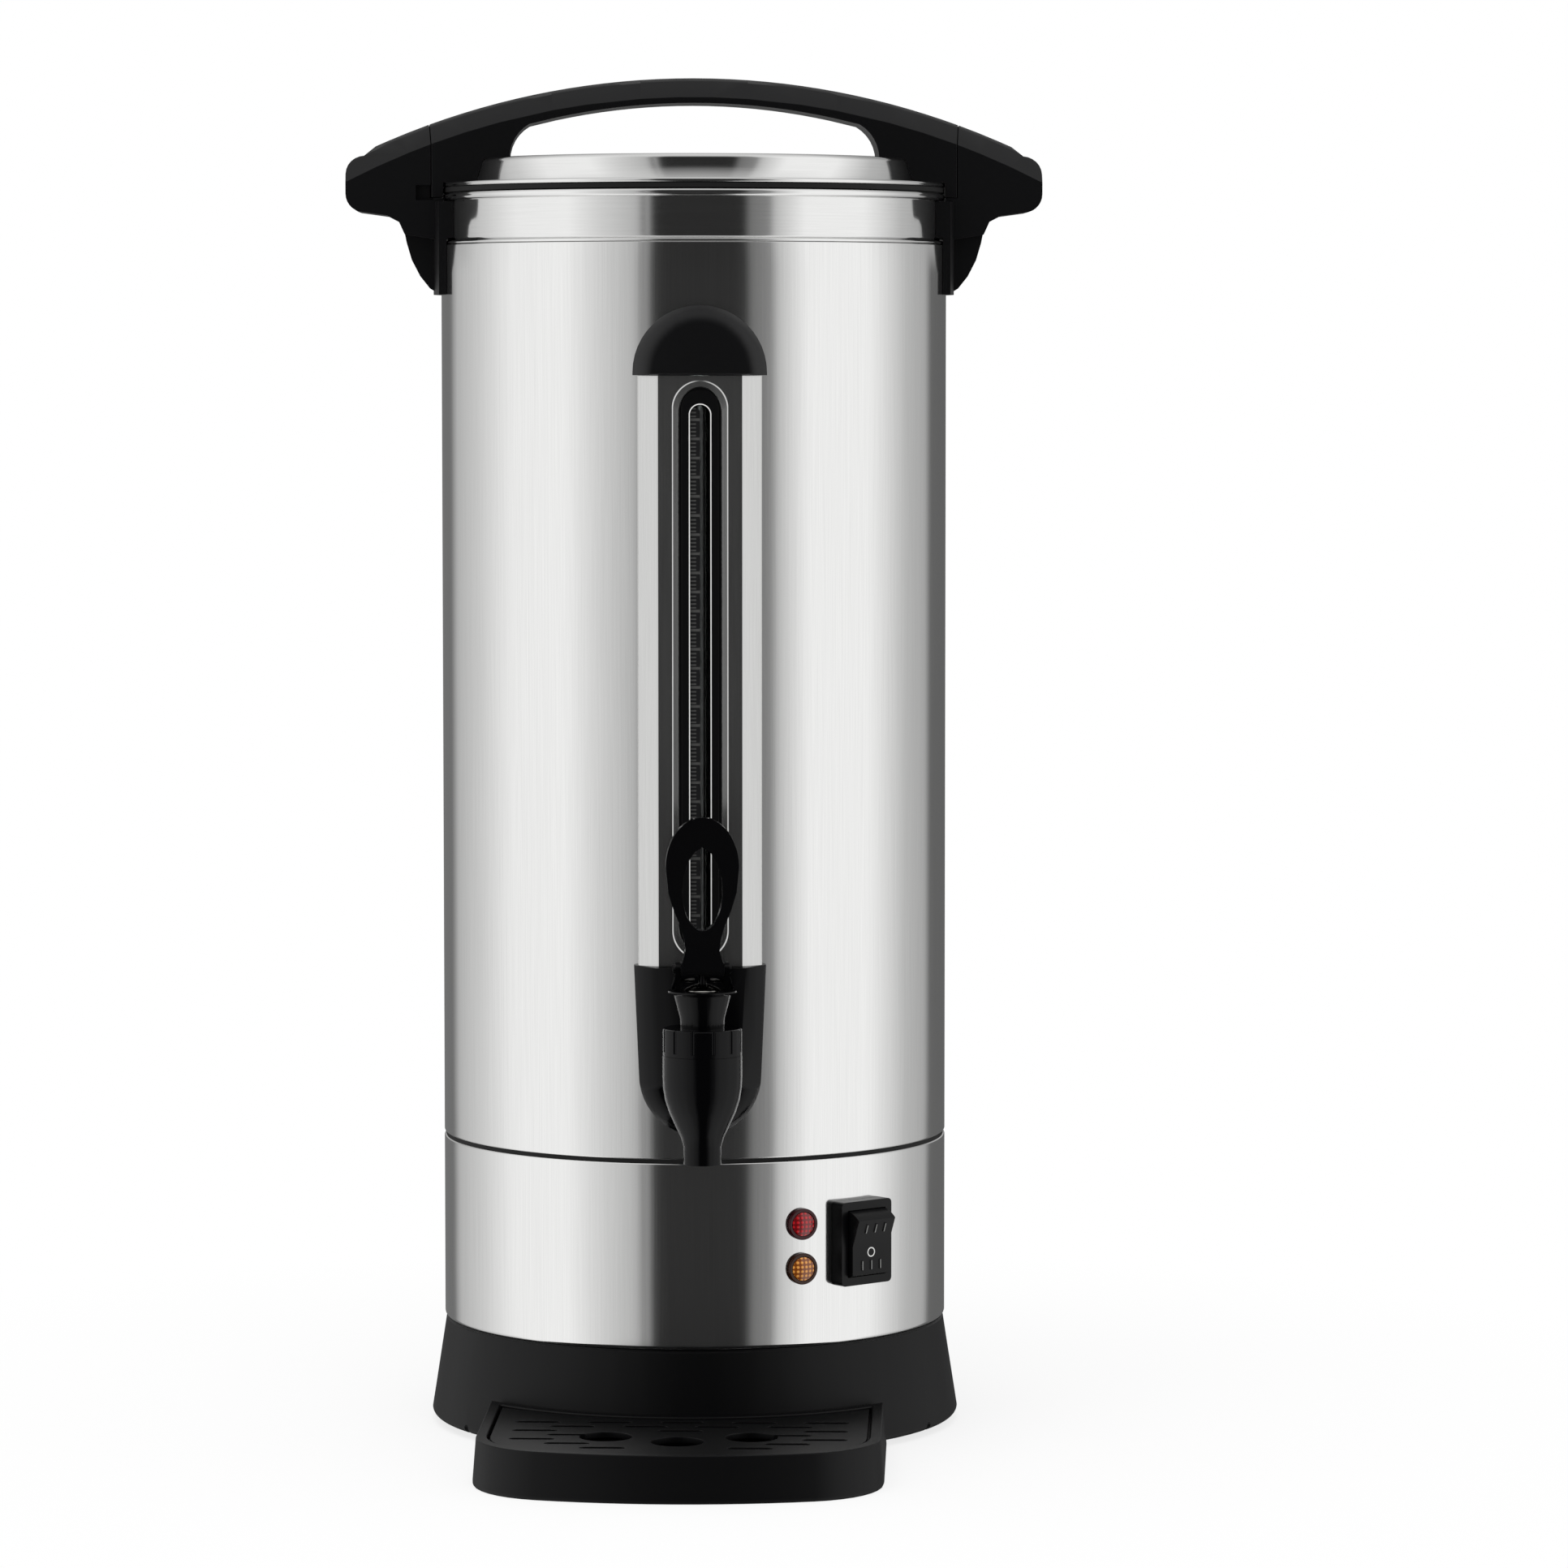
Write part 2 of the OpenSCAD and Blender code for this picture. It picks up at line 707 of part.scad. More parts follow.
// Grip on the +X side, whose bracket lies on the shell and on the collar above it
module side_handle(locked) {
    knee_z = grip_low_z - 8;
    low_z = shoulder_z - bracket_h;
    bead_top = shoulder_z + 2.9;
    rim_low = rim_z - 2 * rim_r - 0.3;
    neck_x = neck_r - 4;
    color(black)
        difference() {
            union() {
                intersection() {
                    arch_section();
                    plate_xz(-handle_w, handle_w)
                        polygon(concat(
                            [[neck_x, grip_low_z - 14], [neck_x, arch_top_z]],
                            arc(grip_r - 8, grip_top_z - 6, 8, 90, 0, 6),
                            arc(grip_r - 8, grip_low_z + 7, 8, 0, -75, 6),
                            [[grip_r - 18, grip_low_z - 2.4], [grip_r - 23, grip_low_z - 5],
                                [grip_r - 25.5, knee_z - 2.5]]));
                }
                plate_xz(-web_w / 2, web_w / 2)
                    polygon([[body_r, low_z + 1], [body_r, grip_low_z + 2], [grip_r - 20, grip_low_z + 2],
                        [grip_r - 25, knee_z], [grip_r - 26.2, knee_z - 6], [grip_r - 28.4, knee_z - 13.5],
                        [grip_r - 32, knee_z - 20.5], [grip_r - 36.2, knee_z - 25.8], [body_r + 2, low_z + 1]]);
                intersection() {
                    tube(body_r + bracket_t, neck_x, low_z, rim_low);
                    block([0, -bracket_w / 2, low_z - 1], [grip_r, bracket_w / 2, rim_low + 1]);
                }
            }
            rotate_extrude()
                polygon([[0, low_z - 5], [body_r + seat, low_z - 5], [body_r + seat, bead_top],
                    [neck_r + seat, bead_top], [neck_r + seat, rim_low], [body_r + seat, rim_low],
                    [body_r + seat, nest_z], [0, nest_z]]);
            translate([0, 0, nest_z - eps]) cylinder(r = seam_r + seam_gap, h = 80);
            for (z = side_screw_z) rod_x(2 + fit, body_r - 5, side_screw_tip(z) + 0.5, 0, z);
            if (locked)
                block([seam_r - 2, -handle_w, nest_z - 1],
                    [seam_r + 5.6, -handle_w / 2 + 3, nest_z + 5.5]);
        }
}

side_screw_z = [shoulder_z - 16.5, shoulder_z - 7.5];
function side_screw_tip(z) = z < shoulder_z - 12 ? body_r + 3.4 : body_r + 8;

// Both sides' screw axes, each carried to its height
module side_screw_places() {
    for (side = [0, 180], z = side_screw_z) rotate(side) translate([0, 0, z]) children();
}

module side_handle_left() {
    mirror([1, 0, 0]) side_handle(true);
}

module side_handle_right() {
    side_handle(false);
}

module side_handle_screws() {
    color(steel)
        for (side = [0, 180], z = side_screw_z)
            rotate(side) {
                rod_x(2, shell_in - 0.6, side_screw_tip(z), 0, z);
                rod_x(3.5, shell_in - 2.1, shell_in - 0.1, 0, z);
            }
}

// ---- Lid --------------------------------------------------------------------------------

module lid() {
    top_r = lid_foot_r - lid_slope;
    color(steel)
        difference() {
            union() {
                rotate_extrude()
                    difference() {
                        polygon(concat(
                            [[0, lid_z], [body_r - 0.4 - curl_r, lid_z],
                                [body_r - 0.4 - curl_r, lid_z + sheet_t]],
                            lid_outline(0)));
                        polygon(concat(
                            [[-1, lid_z - 1], [lid_foot_r - sheet_t, lid_z - 1],
                                [lid_foot_r - sheet_t, lid_z + eps]],
                            arc(top_r - lid_edge, lid_top_z - lid_edge, lid_edge - sheet_t, 0, 90, 6),
                            [[(top_r - lid_edge) / 2, lid_top_z - sheet_t + lid_crown * 0.75],
                                [-1, lid_top_z - sheet_t + lid_crown]]));
                    }
                translate([0, 0, lid_z + curl_r])
                    rotate_extrude() translate([body_r - 0.4 - curl_r, 0]) circle(r = curl_r);
                tube(lid_lip_r, lid_lip_r - sheet_t, lid_z - lip_drop, lid_z + sheet_t / 2);
                polar(3, 90 - tab_back)
                    rotate_extrude(angle = tab_span)
                        translate([lid_lip_r - 0.4, lid_z - lip_drop])
                            square([neck_in - 0.5 - lid_lip_r + 0.4, 1.6]);
            }
            for (x = [-lid_screw_x, lid_screw_x], y = [-lid_screw_y, lid_screw_y])
                translate([x, y, lid_top_z - 4]) cylinder(r = 1.8 + fit, h = 8);
        }
}

module lid_gasket() {
    color(rubber)
        tube(rim_mid_r + 1.2, lid_lip_r + 1, rim_z + seat, lid_z - seat);
}

// ---- Gauge ------------------------------------------------------------------------------

// Cross-section of the gauge cover in X and Y, grown inwards by t
module gauge_section(t) {
    foot = gauge_w / 2 - t;
    flat = gauge_flat_w / 2 - t / 2;
    polygon([[-foot, -body_r * 0.9], [-foot, -body_r + gauge_out * 0.3 - t / 3],
        [-flat, -gauge_y + t], [flat, -gauge_y + t],
        [foot, -body_r + gauge_out * 0.3 - t / 3], [foot, -body_r * 0.9]]);
}

module gauge_cover() {
    color(steel)
        difference() {
            translate([0, 0, gauge_z + seat]) linear_extrude(gauge_len - 2 * seat) gauge_section(0);
            translate([0, 0, gauge_z - 1]) linear_extrude(gauge_len + 2) gauge_section(gauge_t);
            translate([0, 0, gauge_z - 1]) cylinder(r = body_r + seat, h = gauge_len + 2);
            plate_xz(-gauge_y - 2, -gauge_y + gauge_t + 1)
                polygon(slot_points(slot_w, gauge_z + slot_margin + 2.6,
                    gauge_top_z - 2 - 2.6));
            plate_xz(-gauge_y - 2, -gauge_y + 0.5)
                polygon(slot_points(press_w, gauge_z + slot_margin, gauge_top_z - 2));
        }
}

module gauge_window() {
    back = -gauge_y + gauge_t + 0.1;
    color(black)
        difference() {
            union() {
                block([-press_w / 2, back, gauge_z + 0.6], [press_w / 2, back + 0.7, gauge_top_z - 0.6]);
                plate_xz(back - 1, back + 0.3)
                    polygon(slot_points(boss_w, gauge_z + slot_margin + 3.8, gauge_top_z - 5.8));
            }
            plate_xz(back - 2, back + 2)
                polygon(slot_points(window_w, window_z0, window_z1));
        }
}

module sight_tube() {
    color("#dfe9ea")
        translate([0, -tube_y, 0])
            tube(sight_d / 2, sight_d / 2 - 1.1, shank_z + 13, cap_mid_z + 8);
}

module gauge_grommet() {
    color(rubber)
        translate([0, -tube_y, 0])
            difference() {
                translate([0, 0, cap_mid_z + 2.2])
                    cylinder(r1 = sight_d / 2 + 0.8, r2 = sight_d / 2 + 0.6, h = grommet_h);
                translate([0, 0, cap_mid_z]) cylinder(r = sight_d / 2 + fit, h = 8.1);
            }
}

// Rounded cap with a bevelled front
module gauge_cap() {
    r = cap_d / 2;
    side = -body_r - 6.5;
    color(black)
        difference() {
            intersection() {
                hull() {
                    plate_xz(side, -body_r * 0.9)
                        polygon(concat(arc(0, cap_mid_z, r, 0, 180, 24),
                            arc(-r + 4, cap_mid_z - 1, 4, 180, 250, 4),
                            arc(r - 4, cap_mid_z - 1, 4, 290, 360, 4)));
                    plate_xz(-cap_front, -cap_front + 1)
                        polygon(arc(0, cap_mid_z, r - cap_bevel, 0, 180, 24));
                }
                block([-r, -cap_front - 1, gauge_top_z + seat], [r, 0, cap_mid_z + r + 1]);
            }
            translate([0, 0, gauge_top_z - 5]) cylinder(r = body_r + seat, h = cap_d);
            translate([0, -tube_y, gauge_top_z - 1])
                cylinder(r = sight_d / 2 + 0.9, h = cap_mid_z - gauge_top_z + grommet_h + 4);
        }
}

// Fitting that carries the sight tube on the tap's shank
module gauge_base() {
    front = -plate_front + plate_t + 0.4;
    back = -body_r - 0.3;
    color(black)
        difference() {
            union() {
                rod_y(12, front, back, 0, shank_z);
                block([-6.5, -tube_y - sight_d / 2 - 1.6, shank_z], [6.5, back, shank_z + 22]);
            }
            rod_y(shank_r + fit, front - 1, back + 1, 0, shank_z);
            translate([0, -tube_y, shank_z + 12.9]) cylinder(r = sight_d / 2 + fit, h = 12);
            translate([0, -tube_y, shank_z]) cylinder(r = 1.8, h = 14);
        }
}

// ---- Tap --------------------------------------------------------------------------------

// Shield behind the tap: a bevelled plate, narrower towards its round lower end
module shield(inset, depth) {
    low_r = plate_w / 2 - inset;
    mid_z = plate_low_z + plate_w / 2;
    hull() {
        plate_xz(-body_r - 1, -body_r * 0.9)
            polygon(concat([[plate_top_w / 2 - inset, plate_top_z + inset],
                    [-plate_top_w / 2 + inset, plate_top_z + inset]],
                arc(0, mid_z, low_r, 180, 360, 24)));
        plate_xz(-depth, -depth + 0.5)
            polygon(concat([[plate_top_w / 2 - plate_bevel - inset / 2, plate_top_z + inset],
                    [-plate_top_w / 2 + plate_bevel + inset / 2, plate_top_z + inset]],
                arc(0, mid_z, low_r - plate_bevel + inset / 2, 180, 360, 24)));
    }
}

module tap_escutcheon() {
    color(black)
        difference() {
            shield(0, plate_front);
            shield(plate_t, plate_front - plate_t);
            translate([0, 0, plate_low_z - 5]) cylinder(r = body_r + seat, h = 100);
            rod_y(shank_r + 0.3, -plate_front - 2, -plate_front + 6, 0, shank_z);
        }
}

module tap_shank() {
    color(brass)
        difference() {
            rod_y(shank_r, -tap_y + chamber_r + 1.2, -tank_in + 9, 0, shank_z);
            rod_y(shank_bore, -tap_y, -tank_in + 12, 0, shank_z);
            translate([0, -tube_y, shank_z]) cylinder(r = 1.6, h = 20);
        }
}

module tap_shank_nut() {
    color(brass)
        translate([0, -tank_in + 2.8, shank_z])
            rotate([-90, 0, 0]) hex_nut(nut_flats, 0, nut_t, shank_r + fit);
}

module tap_washers() {
    washer_r = 11;
    color(rubber)
        for (span = [[-tank_in + 0.7, -tank_in + 2.7], [-shell_in + 0.7, -tank_r - 0.1]])
            difference() {
                rod_y(washer_r, span[0], span[1], 0, shank_z);
                rod_y(shank_r + fit, span[0] - 1, span[1] + 1, 0, shank_z);
            }
}

module tap_body() {
    color(black)
        difference() {
            union() {
                translate([0, -tap_y, 0])
                    rotate_extrude()
                        polygon(concat(
                            [[0, spout_z], [spout_r, spout_z], [spout_r, spout_z + spout_len]],
                            [[spout_r + 1.2, spout_z + 11.4], [tap_r - 5.1, spout_z + 16.4],
                                [tap_r - 2.6, spout_z + 22], [tap_r - 1, spout_z + 27],
                                [tap_r - 0.2, spout_z + 32], [tap_r, spout_z + 37],
                                [tap_r, bonnet_z], [0, bonnet_z]]));
                rod_y(10, -tap_y + 2, -plate_front - 0.2, 0, shank_z);
                rod_y(13, -plate_front - 2.4, -plate_front - 0.2, 0, shank_z);
            }
            translate([0, -tap_y, spout_z - 1]) cylinder(r = spout_bore / 2, h = 40);
            translate([0, -tap_y, seat_z]) cylinder(r = chamber_r, h = 60);
            rod_y(shank_r + fit, -tap_y + chamber_r + 1, -plate_front + 5, 0, shank_z);
            rod_y(shank_bore, -tap_y, -plate_front, 0, shank_z);
        }
}

module tap_bonnet() {
    groove_z = bonnet_z + 1.6;
    color(black)
        translate([0, -tap_y, 0])
            difference() {
                union() {
                    rotate_extrude()
                        polygon(concat(
                            [[0, bonnet_z + seat], [tap_r - 0.1, bonnet_z + seat]],
                            arc(tap_r - 1.1, nut_z - 1, 1, 0, 90, 4),
                            [[neck_foot_r, nut_z], [neck_foot_r + 0.2, bowl_z],
                                [neck_foot_r + 1.5, bowl_z + bowl_h * 0.5],
                                [bowl_top_r, bowl_z + bowl_h], [lip_out_r, lip_z - 0.7],
                                [lip_out_r, lip_z], [0, lip_z]]));
                    tube(chamber_r - 0.1, spring_room_r - 0.5, bonnet_z - 6.6, bonnet_z + 2);
                    for (side = [-1, 1]) scale([side, 1, 1]) lever_lug();
                }
                translate([0, 0, bonnet_z - 8])
                    cylinder(r = spring_room_r, h = spring_top_z - bonnet_z + 8);
                cylinder(r = stem_r + fit, h = lip_z + 20);
                rod_x(pin_r + fit, -lug_x1 - 1, lug_x1 + 1, 0, pivot_z);
                polar(12, 15)
                    translate([tap_r + 0.2, 0, groove_z])
                        cylinder(r = groove_r, h = nut_h);
            }
}

// Upright lug that the lever turns on
module lever_lug() {
    block([lug_x0, -lug_r, lip_z - 0.5], [lug_x1, lug_r, pivot_z]);
    rod_x(lug_r, lug_x0, lug_x1, 0, pivot_z);
}

// Bright domed washer under the lever
module stem_washer() {
    sphere_r = (dome_r * dome_r + dome_h * dome_h) / (2 * dome_h);
    color(steel)
        translate([0, -tap_y, lip_z + seat])
            difference() {
                intersection() {
                    translate([0, 0, dome_h - sphere_r]) sphere(r = sphere_r);
                    cylinder(r = dome_r, h = dome_h + 1);
                }
                translate([0, 0, -1]) cylinder(r = stem_r + 0.2, h = dome_h + 3);
            }
}

module tap_stem() {
    foot_z = seat_z + 0.3 + cup_h;
    color(steel)
        translate([0, -tap_y, 0]) {
            translate([0, 0, foot_z - 2]) cylinder(r = stem_r, h = head_z + 1 - foot_z + 2);
            translate([0, 0, foot_z]) cylinder(r = spring_room_r - 1.5, h = collar_t);
            block([-stem_slot + 0.4, -2.2, head_z], [stem_slot - 0.4, lobe_e + 0.7, head_z + head_t]);
        }
}

module seat_cup() {
    color(rubber)
        translate([0, -tap_y, seat_z + 0.2])
            difference() {
                rotate_extrude()
                    polygon([[0, 0], [cup_r - 1.5, 0], [cup_r, 1.5], [cup_r - 0.6, 4],
                        [cup_r - 3, cup_h], [0, cup_h]]);
                translate([0, 0, cup_h - 2.1]) cylinder(r = stem_r + fit, h = 5);
            }
}

module tap_spring() {
    z0 = seat_z + 0.3 + cup_h + collar_t + wire_r + seat;
    color(steel)
        translate([0, -tap_y, 0]) coil(coil_r, wire_r, z0, spring_top_z - wire_r - seat, coil_turns);
}

// A helical wire about Z whose middle runs from z0 to z1
module coil(r, w, z0, z1, turns) {
    steps = 18 * turns;
    sides = 8;
    rise = (z1 - z0) / steps;
    rings = [for (i = [0:steps], j = [0:sides - 1])
        let (a = 20 * i, b = 360 * j / sides, d = r + w * cos(b))
        [d * cos(a), d * sin(a), z0 + rise * i + w * sin(b)]];
    walls = [for (i = [0:steps - 1], j = [0:sides - 1])
        let (k = (j + 1) % sides)
        [i * sides + j, (i + 1) * sides + j, (i + 1) * sides + k, i * sides + k]];
    first = [for (j = [0:sides - 1]) j];
    last = [for (j = [sides - 1:-1:0]) steps * sides + j];
    polyhedron(rings, concat(walls, [first], [last]), convexity = 10);
}

// Half-widths of the lever at heights above its pivot
lever_side = [[-7.9, 0.5], [-4, 0.46], [0, 0.4], [4, 0.32], [8.4, 0.272], [13, 0.29]];

module lever_outline() {
    ring = lever_ring_w / 2;
    ring_z = lever_h - 20.6;
    foot = lever_foot_w;
    side = concat(
        [for (p = lever_side) [p[1] * foot, p[0]]],
        [[ring * 0.6, 18.5], [ring * 0.78, 25], [ring * 0.93, 32.5]],
        [for (i = [0:12]) let (a = 90 * i / 12) [ring * cos(a), ring_z + 20.6 * sin(a)]]);
    polygon(concat(side, [for (i = [len(side) - 2:-1:0]) [-side[i][0], side[i][1]]]));
}

// Hole in the lever's ring, pointed at its top
module lever_eye() {
    half = lever_ring_w * 0.275;
    low = 16.6;
    wide = 33;
    top = lever_h - 12.2;
    side = concat(
        [for (i = [0:8]) let (a = -90 + 90 * i / 8) [half * cos(a), wide + (wide - low) * sin(a)]],
        [[half * 0.94, wide + 6], [half * 0.72, wide + 12], [half * 0.4, top - 2.2], [0, top]]);
    polygon(concat(side, [for (i = [len(side) - 2:-1:1]) [-side[i][0], side[i][1]]]));
}

module tap_lever() {
    big = lever_foot_w;
    color(black)
        translate([0, -tap_y, pivot_z])
            difference() {
                intersection() {
                    plate_xz(-12, 12)
                        difference() {
                            lever_outline();
                            lever_eye();
                        }
                    plate_yz(-big, big)
                        polygon([[-7.9, -9], [-7.9, 0], [-6.8, 4], [-5.2, 12], [-4.8, 30],
                            [-4.2, lever_h - 6], [-2.6, lever_h + 0.1], [2.6, lever_h + 0.1],
                            [4.2, lever_h - 6], [4.8, 30], [5.2, 12], [6.8, 4], [7.9, 0], [7.9, -9]]);
                }
                lever_foot_cuts();
                for (side = [-1, 1]) scale([side, 1, 1]) lever_side_cuts();
                intersection() {
                    rod_x(slot_r, -stem_slot, stem_slot, 0, 0);
                    plate_yz(-stem_slot, stem_slot)
                        polygon([[-4.9, 12], [-4.9, -2], [-12, -2], [-12, -12], [12, -12], [12, 12]]);
                }
            }
    color(steel)
        rod_x(lobe_r, -stem_slot - 0.3, stem_slot + 0.3, -lobe_y, lobe_z);
}

// Clears the domed washer under the middle of the foot
module lever_foot_cuts() {
    plate_yz(-mid_x, mid_x)
        difference() {
            polygon([[-12, 0], [-12, -12], [12, -12], [12, -3.5], [0, -3.5], [0, 0]]);
            circle(r = mid_r);
        }
}

// Clears one lug, and rounds the cheek outside it
module lever_side_cuts() {
    rod_x(lug_r + 0.5, mid_x, cheek_x, 0, 0);
    plate_yz(mid_x - eps, cheek_x)
        polygon([[-12, -12], [-12, 2.5], [0, 2.5], [0, 0], [lug_r + 0.5, 0], [lug_r + 0.5, -12]]);
    plate_yz(cheek_x - eps, lever_foot_w)
        difference() {
            polygon([[-12, -12], [-12, 0], [12, 0], [12, -12]]);
            circle(r = cheek_r);
        }
    rod_x(pin_r + fit, mid_x - 3, lever_foot_w / 2 - 0.6, 0, 0);
}

module lever_pins() {
    color(steel)
        for (side = [-1, 1])
            scale([side, 1, 1]) rod_x(pin_r, mid_x - 2.9, lever_foot_w / 2 - 0.8, -tap_y, pivot_z);
}

// ---- Controls ---------------------------------------------------------------------------

// The switch's own frame: X across it, -Y outwards, the pivot at the origin
module at_switch() {
    rotate(switch_turn) translate([0, -body_r - frame_out + rocker_back, switch_z]) children();
}

module lamp_places() {
    for (side = [-1, 1])
        rotate(lamp_turn) translate([0, 0, lamp_mid_z + side * lamp_pitch / 2]) children();
}

module switch_housing() {
    w = switch_w / 2;
    h = switch_h / 2;
    bw = switch_body_w / 2;
    bh = switch_body_h / 2;
    inner = rocker_w / 2 + 0.3;
    color(black)
        difference() {
            union() {
                difference() {
                    at_switch()
                        plate_xz(-rocker_back + frame_step, frame_out)
                            polygon(concat(arc(w - 2, h - 2, 2, 0, 90, 4), arc(2 - w, h - 2, 2, 90, 180, 4),
                                arc(2 - w, 2 - h, 2, 180, 270, 4), arc(w - 2, 2 - h, 2, 270, 360, 4)));
                    cylinder(r = body_r + seat, h = shell_z);
                }
                at_switch()
                    block([-bw, 1.5, -bh], [bw, rocker_back + switch_depth, bh]);
            }
            at_switch() {
                intersection() {
                    rod_x(rocker_r + 0.2, -inner, inner, 0, 0);
                    block([-inner, -40, -40], [inner, rocker_back + 0.5, 40]);
                }
                rod_x(rocker_pin_r + fit, -inner - 1, inner + 1, 0, 0);
                for (z = [-9, 0, 9])
                    block([-3.2, switch_depth - 4, z - 0.6], [3.2, switch_depth + 10, z + 0.6]);
            }
        }
}

module switch_rocker() {
    half = rocker_w / 2;
    face = rocker_back + rocker_proud;
    tip = rocker_tip / 2;
    flare = 20 * tan(tip);
    color(black)
        at_switch()
            rotate([tip, 0, 0])
                difference() {
                    union() {
                        intersection() {
                            rod_x(rocker_r, -half, half, 0, 0);
                            plate_yz(-half, half)
                                polygon([[-face, 0], [-face - flare, 20], [rocker_rear, 20],
                                    [rocker_rear, -20], [-face - flare, -20]]);
                        }
                        for (x = [-5, 0, 5], s = [-1, 1])
                            rotate([s * tip, 0, 0])
                                block([x - 0.5, -face - 0.4, s > 0 ? 7.2 : -11.4],
                                    [x + 0.5, -face + 1, s > 0 ? 11.4 : -7.2]);
                    }
                    rod_x(rocker_pin_r + fit, -half - 1, half + 1, 0, 0);
                }
}

module switch_pin() {
    color(steel)
        at_switch() rod_x(rocker_pin_r, -rocker_w / 2 - 1, rocker_w / 2 + 1, 0, 0);
}

module switch_terminals() {
    color(brass)
        at_switch()
            for (z = [-9, 0, 9])
                block([-3.1, switch_depth - 3.9, z - 0.5], [3.1, switch_depth + 13, z + 0.5]);
}

// Domed lens of one lamp
module lamp_lens() {
    dome = 1.2;
    sphere_r = (lamp_lens_r * lamp_lens_r + dome * dome) / (2 * dome);
    edge_a = asin(lamp_lens_r / sphere_r);
    translate([0, -body_r - 1.1, 0])
        rotate([90, 0, 0])
            rotate_extrude()
                polygon(concat([[0, 0], [lamp_lens_r, 0]],
                    arc(0, 0.9 + dome - sphere_r, sphere_r, 90 - edge_a, 90, 8)));
}

module lamp_red() {
    color("#a80f1c")
        rotate(lamp_turn) translate([0, 0, lamp_mid_z + lamp_pitch / 2]) lamp_lens();
}

module lamp_amber() {
    color("#d9871d")
        rotate(lamp_turn) translate([0, 0, lamp_mid_z - lamp_pitch / 2]) lamp_lens();
}

module lamp_bezels() {
    color(black)
        lamp_places()
            difference() {
                union() {
                    rod_y(lamp_d / 2, -body_r - 2.1, -body_r - 0.1, 0, 0);
                    rod_y(lamp_barrel_r, -body_r - 0.5, -body_r + 13, 0, 0);
                }
                rod_y(lamp_lens_r + fit, -body_r - 5, -body_r - 1.05, 0, 0);
                rod_y(lamp_barrel_r - 1, -body_r - 2, -body_r + 11.5, 0, 0);
            }
}

module lamp_nuts() {
    color(black)
        lamp_places()
            translate([0, -shell_in + 0.5, 0])
                rotate([-90, 0, 0]) hex_nut(13, 0, 3, lamp_barrel_r + fit);
}

// ---- Power inlet at the back ------------------------------------------------------------

module power_inlet() {
    front = body_r + inlet_out;
    back = body_r - inlet_depth;
    color(black)
        difference() {
            union() {
                difference() {
                    block([-inlet_flange_w / 2, body_r - 8, inlet_z - inlet_flange_h / 2],
                        [inlet_flange_w / 2, front, inlet_z + inlet_flange_h / 2]);
                    cylinder(r = body_r + seat, h = shell_z);
                }
                block([-inlet_w / 2, back, inlet_z - inlet_h / 2],
                    [inlet_w / 2, front - 1, inlet_z + inlet_h / 2]);
            }
            block([-socket_w / 2, front - socket_depth, inlet_z - socket_h / 2],
                [socket_w / 2, front + 1, inlet_z + socket_h / 2]);
            for (x = [-inlet_screw_x, inlet_screw_x])
                rod_y(screw_r + fit, body_r - 12, front + 1, x, inlet_z);
            for (p = inlet_blades)
                block([p[0] - 2.05, back - 1, inlet_z + p[1] - 1.05],
                    [p[0] + 2.05, front - socket_depth + 1, inlet_z + p[1] + 1.05]);
        }
}

// Places of the three blades in the socket, from its middle
inlet_blades = [[-7, -2], [0, 2], [7, -2]];

module inlet_pins() {
    front = body_r + inlet_out;
    color(brass)
        for (p = inlet_blades)
            block([p[0] - 2, body_r - inlet_depth - 8, inlet_z + p[1] - 1],
                [p[0] + 2, front - 5.5, inlet_z + p[1] + 1]);
}

module inlet_screws() {
    front = body_r + inlet_out;
    color(steel)
        for (x = [-inlet_screw_x, inlet_screw_x]) {
            rod_y(screw_r, body_r - 6, front + 0.5, x, inlet_z);
            rod_y(screw_head_r, front + fit, front + screw_head_h, x, inlet_z);
        }
}

// ---- Heating and wiring -----------------------------------------------------------------

module heater_plate() {
    z0 = plate_gap_z - heater_h;
    color("#b4b6b8")
        difference() {
            translate([0, 0, z0]) cylinder(r = heater_r, h = heater_h);
            translate([0, 0, z0 - 1]) cylinder(r = rod_r + 0.3, h = heater_h + 2);
            tube(element_r + element_t + seat, element_r - element_t - seat, z0 - 1, z0 + element_t + seat);
        }
}

module heater_element() {
    z0 = plate_gap_z - heater_h;
    color("#7d7f82") {
        translate([0, 0, z0])
            rotate_extrude(angle = 330) translate([element_r, 0]) circle(r = element_t);
        for (a = [6, 324])
            rotate(a) translate([element_r, 0, z0 - 12]) cylinder(r = element_t - 1.2, h = 12);
    }
}

module warm_heater() {
    color(brass)
        tube(tank_r + 2.2, tank_r + seat, floor_z + tank_corner, floor_z + tank_corner + warm_w);
}

module tie_rod() {
    color(steel)
        translate([0, 0, pan_z - 9]) cylinder(r = rod_r, h = well_z - seat - pan_z + 9);
}

module clamp_nuts() {
    plate_z = plate_gap_z - heater_h - element_t - 0.3;
    color(steel) {
        tube(element_r - element_t + 0.9, rod_r + fit, plate_z - 2, plate_z);
        hex_nut(nut_across, plate_z - 2.1 - nut_t, nut_t, rod_r + fit);
        hex_nut(nut_across, pan_z - 0.1 - nut_t, nut_t, rod_r + fit);
    }
}

module thermostats() {
    color(white)
        for (side = [-1, 1])
            translate([side * thermostat_x, thermostat_y, 0]) {
                translate([0, 0, floor_z - 7.1]) cylinder(r = 8.5, h = 7);
                for (x = [-4, 4])
                    block([x - 1.6, -0.4, floor_z - 14], [x + 1.6, 0.4, floor_z - 7]);
            }
}

module thermal_fuse() {
    color(brass)
        union() {
            rod_x(2.6, -9, 9, fuse_y, floor_z - 3.2);
            block([-3, fuse_y - 3, floor_z - 4], [3, fuse_y + 3, floor_z - seat]);
        }
}

